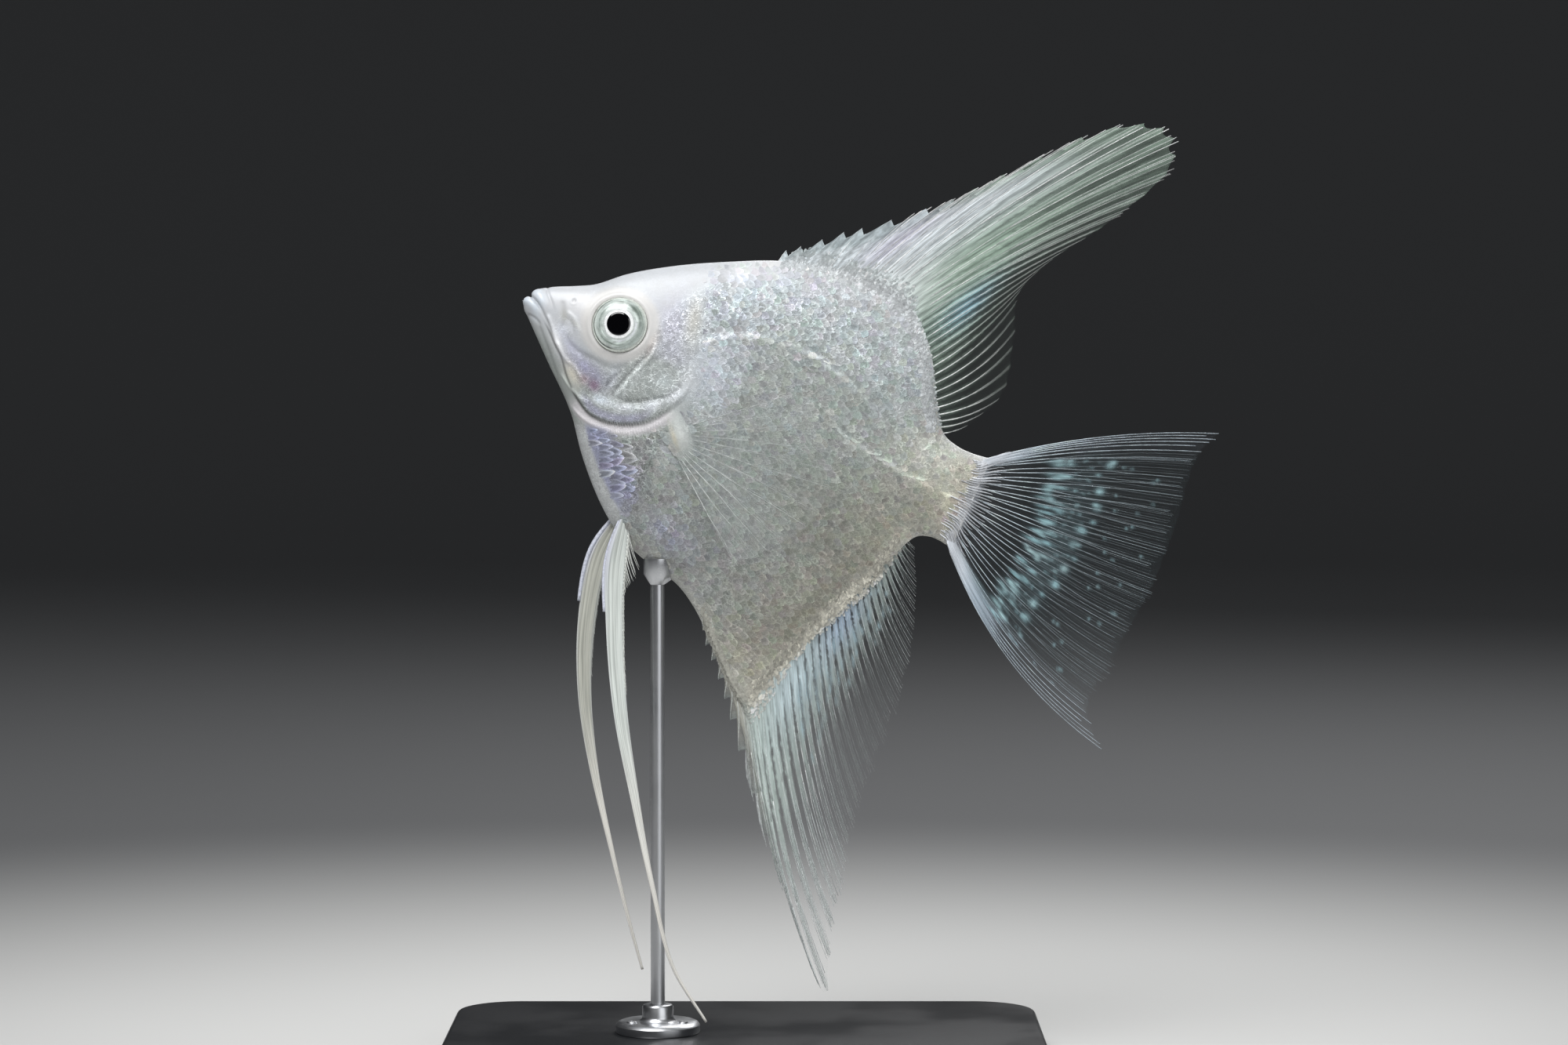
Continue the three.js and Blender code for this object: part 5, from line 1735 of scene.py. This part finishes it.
def make_belly_fin(side_name):
    """A ribbon of joined rays drawn out to a thread, a spine in front and a fringe behind its root."""
    side, line = SIDES[side_name], PELVIC[side_name]

    def place(u, v):
        turn = u * 2 * math.pi
        v = np.clip((v - 0.004) / 0.992, 0, 1)
        centre, across = pelvic_frame(line, side, v)
        front, rear = pelvic_front(v), pelvic_rear(v)
        half, middle = (front + rear) / 2, (rear - front) / 2
        ribs = 1 + 0.22 * np.cos(turn * RIBBON_RIBS) * (1 - v)
        thick = (0.42 - 0.22 * v) * ribs
        point = centre + across * (middle + half * np.cos(turn))[:, None]
        point[:, 1] += thick * np.sin(turn) - side * 0.25 * np.cos(turn) * (1 - v)
        return point

    ribbon, u, v = sheet(*RIBBON_GRID, place, wrap=True)
    only(ribbon)
    bpy.ops.object.mode_set(mode="EDIT")
    close_ends()
    bpy.ops.object.mode_set(mode="OBJECT")
    across_fin = 0.5 + 0.5 * np.cos(u * 2 * math.pi)
    mottle = (0.93 + 0.14 * grain(across_fin * 9, v * 5, 11))[:, None]
    tone = layered(
        BELLY_FIN_TONES_FAR_SHADED[side_name] * mottle,
        ((222, 226, 226), smooth(np.abs(across_fin - 0.5), 0.32, 0.5) * 0.6),
        ((196, 198, 214), smooth(0.3 - across_fin, 0, 0.2) * smooth(0.2 - v, 0, 0.1) * 0.6),
        ((240, 237, 230), smooth(v, 0.4, 0.85)),
    )
    paint(ribbon, np.clip(tone, 0, 250), Veil=0.98 - 0.08 * smooth(v, 0.6, 1))
    finish_piece(ribbon, "pelvic_" + side_name, RIBBON, ["pelvic_fin_" + side_name])

    tubes = Tubes()
    v = np.linspace(0, SPINE_END, 16)
    centre, across = pelvic_frame(line, side, v)
    spine = centre - across * (pelvic_front(v) * 0.95 + 0.22 * smooth(v, 0.04, 0.2))[:, None]
    radius = 0.36 * (0.7 + 0.3 * smooth(v, 0, 0.08) - 0.25 * (v / SPINE_END) ** 3)
    tubes.add(spine, radius, (218, 222, 236), flat=0.7)
    for k in range(FRINGE_HAIRS):
        start = 0.03 + 0.008 * k
        long = smooth(0.16 - start, 0, 0.13)
        v = np.linspace(start, start + 0.02 + 0.055 * long, 8)
        centre, across = pelvic_frame(line, side, v)
        grow = np.linspace(0, 1, 8)
        away = pelvic_rear(v) - 0.12 + grow**1.2 * (0.25 + 2.0 * long) * rng.uniform(0.7, 1.1)
        hair = centre + across * away[:, None]
        hair[:, 1] += side * rng.uniform(-0.25, 0.25) * grow
        tubes.add(hair, np.linspace(0.09, 0.03, 8), (210, 213, 208))
    tubes.finish("pelvic_fringe_" + side_name)


for side_name in SIDES:
    make_belly_fin(side_name)


# ---------------------------------------------------------------- eyes
PUPIL = 1.85  # its radius
EYE_GRID = (128, 96)  # round the eye, and from its middle outwards


def make_eye(side_name):
    """A low dome: black pupil, bright ring, silver-green iris with darker arcs, and a dark seam at the rim
    that is painted shadow of the socket's edge.
    """
    side = SIDES[side_name]
    outward = np.array([-0.16, side, 0.1])
    outward /= np.linalg.norm(outward)
    up = np.array([0, 0, 1.0]) - outward * outward[2]
    up /= np.linalg.norm(up)
    ahead = np.cross(up, outward)
    centre = np.array([EYE[0], side * (half_width(EYE[0]) * 0.97 + 0.1), EYE[1]])
    height = through(
        (0, 1.24), (1, 1.21), (1.78, 1.12), (1.84, 1.06), (2.2, 1.02), (2.9, 0.86), (3.5, 0.6), (4, 0.2),
        (4.24, -0.25), (EYE_RADIUS, -1.5),
    )

    def place(u, v):
        radius = EYE_RADIUS * v
        turn = u * 2 * math.pi
        ring = ahead * np.cos(turn)[:, None] + up * np.sin(turn)[:, None]
        return centre + ring * np.minimum(radius, EYE_WALL)[:, None] + outward * height(radius)[:, None]

    eye, u, v = sheet(*EYE_GRID, place, wrap=True)
    radius, turn = EYE_RADIUS * v, u * 2 * math.pi
    # h runs level to the tail's side and w straight up in the fish's pose. angle goes from h towards w.
    h = -side * radius * np.cos(turn - NOSE_UP * side)
    w = radius * np.sin(turn - NOSE_UP * side)
    angle = np.arctan2(w, h)
    ragged = grain(angle * 32 / math.pi + 64, radius, 3, wrap=64) - 0.5
    coarse = grain(angle * 8 / math.pi + 16, radius * 2.2, 4, wrap=16) - 0.5
    flakes = grain(angle * 16 / math.pi + 32 + radius * 2, radius * 5, 6, wrap=32) - 0.5

    def arc(level, half, at, reach, strength):
        """A soft arc round the pupil: its radius, half width, middle angle and reach in degrees."""
        away = np.abs((np.degrees(angle) - at + 180) % 360 - 180)
        mask = bell(radius - level - 0.16 * coarse, half) * smooth(reach - away, 0, 30)
        return np.clip(mask * strength * (1 + 0.8 * ragged), 0, 1)

    pupil = smooth(PUPIL - radius, 0, 0.06)
    tone = layered(
        np.array((199.0, 209, 204)) * (1 + 0.16 * coarse + 0.26 * flakes)[:, None],
        ((104, 116, 108), arc(3.3, 0.24, 95, 80, 0.85)),
        ((128, 140, 130), arc(3.62, 0.14, 60, 50, 0.8)),
        ((158, 170, 164), arc(3.4, 0.3, 0, 60, 0.6)),
        ((120, 134, 124), arc(3.2, 0.12, -70, 45, 0.8)),
        ((136, 148, 142), arc(3.0, 0.14, -170, 75, 0.7)),
        ((226, 229, 234), arc(2.62, 0.18, 0, 70, 0.8)),
        ((220, 228, 222), arc(3.62, 0.14, -110, 60, 0.7)),
        ((216, 222, 213), smooth(radius, 3.8, 3.95) * 0.75),
        # Painted shadow: dark seams at the rim, low and on the snout's side, where the socket's edge shades
        # the eye.
        ((70, 76, 72), arc(3.88, 0.07, -130, 85, 0.95)),
        ((96, 102, 98), arc(4.14, 0.06, 165, 60, 0.75)),
        ((200, 201, 194), smooth(radius, 4.1, 4.22) * 0.7),
        # The bright ring round the pupil, with a grey line at its outer edge.
        ((226, 230, 229), smooth(2.5 + 0.2 * coarse - radius, 0, 0.12) * 0.9),
        ((152, 160, 157), bell(radius - 2.36 - 0.2 * coarse, 0.06) * 0.7),
        ((246, 248, 248), smooth(2.26 + 0.12 * coarse - radius, 0, 0.1)),
        ((4, 4, 6), pupil),
    )
    paint(eye, np.clip(tone, 0, 250), Gloss=pupil)
    finish_piece(eye, "eye_" + side_name, EYE_FINISH, ["eye_" + side_name])


# ---------------------------------------------------------------- stand
BASE_LENGTH, BASE_DEPTH, BASE_HEIGHT, BASE_CORNER = 0.092, 0.064, 0.006, 0.0098
TOP_BEVEL, FOOT_BEVEL = 0.0008, 0.0005
ROD_X, ROD_RADIUS = -0.0134, 0.0011
SCREW_CIRCLE, SCREW_LEVEL = 0.0045, 0.0016  # the screws' distance from the rod and height over the base
GAP = 0.0001  # between the rod and what it passes
# Turned outlines of (radius, height) in metres: the flange from its foot outwards, and a screw's head.
FLANGE = [
    (0.0064, 0.00005), (0.0065, 0.00025), (0.0065, 0.0012), (0.0062, 0.0016), (0.0057, 0.0018),
    (0.0034, 0.0018), (0.0028, 0.0019), (0.0025, 0.0022), (0.0024, 0.0026), (0.0024, 0.0040),
    (0.0022, 0.0043), (0.0019, 0.0044),
]
SCREW = [
    (0, 0), (0.0007, 0), (0.00078, 0.00025), (0.0007, 0.00042), (0.00036, 0.00046),
    (0.00032, 0.0003), (0, 0.00028),
]
CUP_RADIUS, CUP_BORE, CUP_FLARE = 0.0021, 0.0016, 0.0016
UNDER_BELLY = 0.05  # a height between the base and the fish


def bevel_edges(piece, wanted, offset, segments):
    """Rounds the edges whose ends' heights pass wanted(a, b). The piece starts and stays in edit mode."""
    bpy.ops.object.mode_set(mode="OBJECT")
    for part in (piece.data.vertices, piece.data.edges, piece.data.polygons):
        part.foreach_set("select", np.zeros(len(part), bool))
    for edge in piece.data.edges:
        a, b = (piece.data.vertices[i].co.z for i in edge.vertices)
        edge.select = wanted(a, b)
    bpy.ops.object.mode_set(mode="EDIT")
    bpy.ops.mesh.bevel(offset=offset, segments=segments, affect="EDGES")


def make_base():
    """A plain slab with rounded corners."""
    bpy.ops.object.select_all(action="DESELECT")
    bpy.ops.mesh.primitive_cube_add(size=1, location=(0, 0, BASE_HEIGHT / 2))
    base = bpy.context.object
    base.scale = (BASE_LENGTH, BASE_DEPTH, BASE_HEIGHT)
    bpy.ops.object.transform_apply(location=True, rotation=True, scale=True)
    bpy.ops.object.mode_set(mode="EDIT")
    bpy.ops.mesh.select_mode(type="EDGE")
    bevel_edges(base, lambda a, b: abs(a - b) > 0.001, BASE_CORNER, 14)
    bevel_edges(base, lambda a, b: min(a, b) > BASE_HEIGHT - 1e-5, TOP_BEVEL, 4)
    bevel_edges(base, lambda a, b: max(a, b) < 1e-5, FOOT_BEVEL, 2)
    bpy.ops.object.mode_set(mode="OBJECT")
    finish_piece(base, "base_plate", LACQUER, ["stand_base"], smooth_angle=30)


def make_rod():
    """The rod, its flange on the base and the flange's three screws."""
    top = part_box("stand_rod")[1].z
    r, foot, axis = ROD_RADIUS, BASE_HEIGHT, (ROD_X, 0, 0)
    rod = spun("rod", [(0, foot), (r, foot), (r, top), (0, top)], 40, axis)
    finish_piece(rod, "support_rod", STEEL, ["stand_rod"], smooth_angle=40)
    low, high = FLANGE[0][1], FLANGE[-1][1]
    outline = [(r + GAP, low), *FLANGE, (r + GAP, high), (r + GAP, low)]
    flange = spun("flange", [(radius, foot + z) for radius, z in outline], 64, axis)
    finish_piece(flange, "rod_flange", STEEL, ["stand_flange"], smooth_angle=35)
    for k in range(3):
        turn = math.radians(90 + 120 * k)
        x, y = ROD_X + SCREW_CIRCLE * math.cos(turn), SCREW_CIRCLE * math.sin(turn)
        head = spun("screw", SCREW, 24, (x, y, foot + SCREW_LEVEL))
        finish_piece(head, "flange_screw_%d" % (k + 1), STEEL, smooth_angle=35)


def make_saddle():
    """A small cup whose rim follows the belly."""
    low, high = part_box("stand_saddle")
    outline = [
        (0, low.z), (ROD_RADIUS, low.z), (CUP_RADIUS, low.z + CUP_FLARE), (CUP_RADIUS, high.z),
        (CUP_BORE, high.z + GAP), (0, high.z + GAP),
    ]
    cup = spun("saddle", outline, 48, (ROD_X, 0, 0))
    belly_above = BVHTree.FromObject(skin, bpy.context.evaluated_depsgraph_get())
    for vertex in cup.data.vertices:
        hit = belly_above.ray_cast(Vector((vertex.co.x, vertex.co.y, UNDER_BELLY)), Vector((0, 0, 1)))[0]
        if hit:
            vertex.co.z = min(vertex.co.z, hit.z - GAP)
    finish_piece(cup, "belly_saddle", STEEL, ["stand_saddle"], smooth_angle=35)


for side_name in SIDES:
    make_eye(side_name)
make_base()
make_rod()
make_saddle()
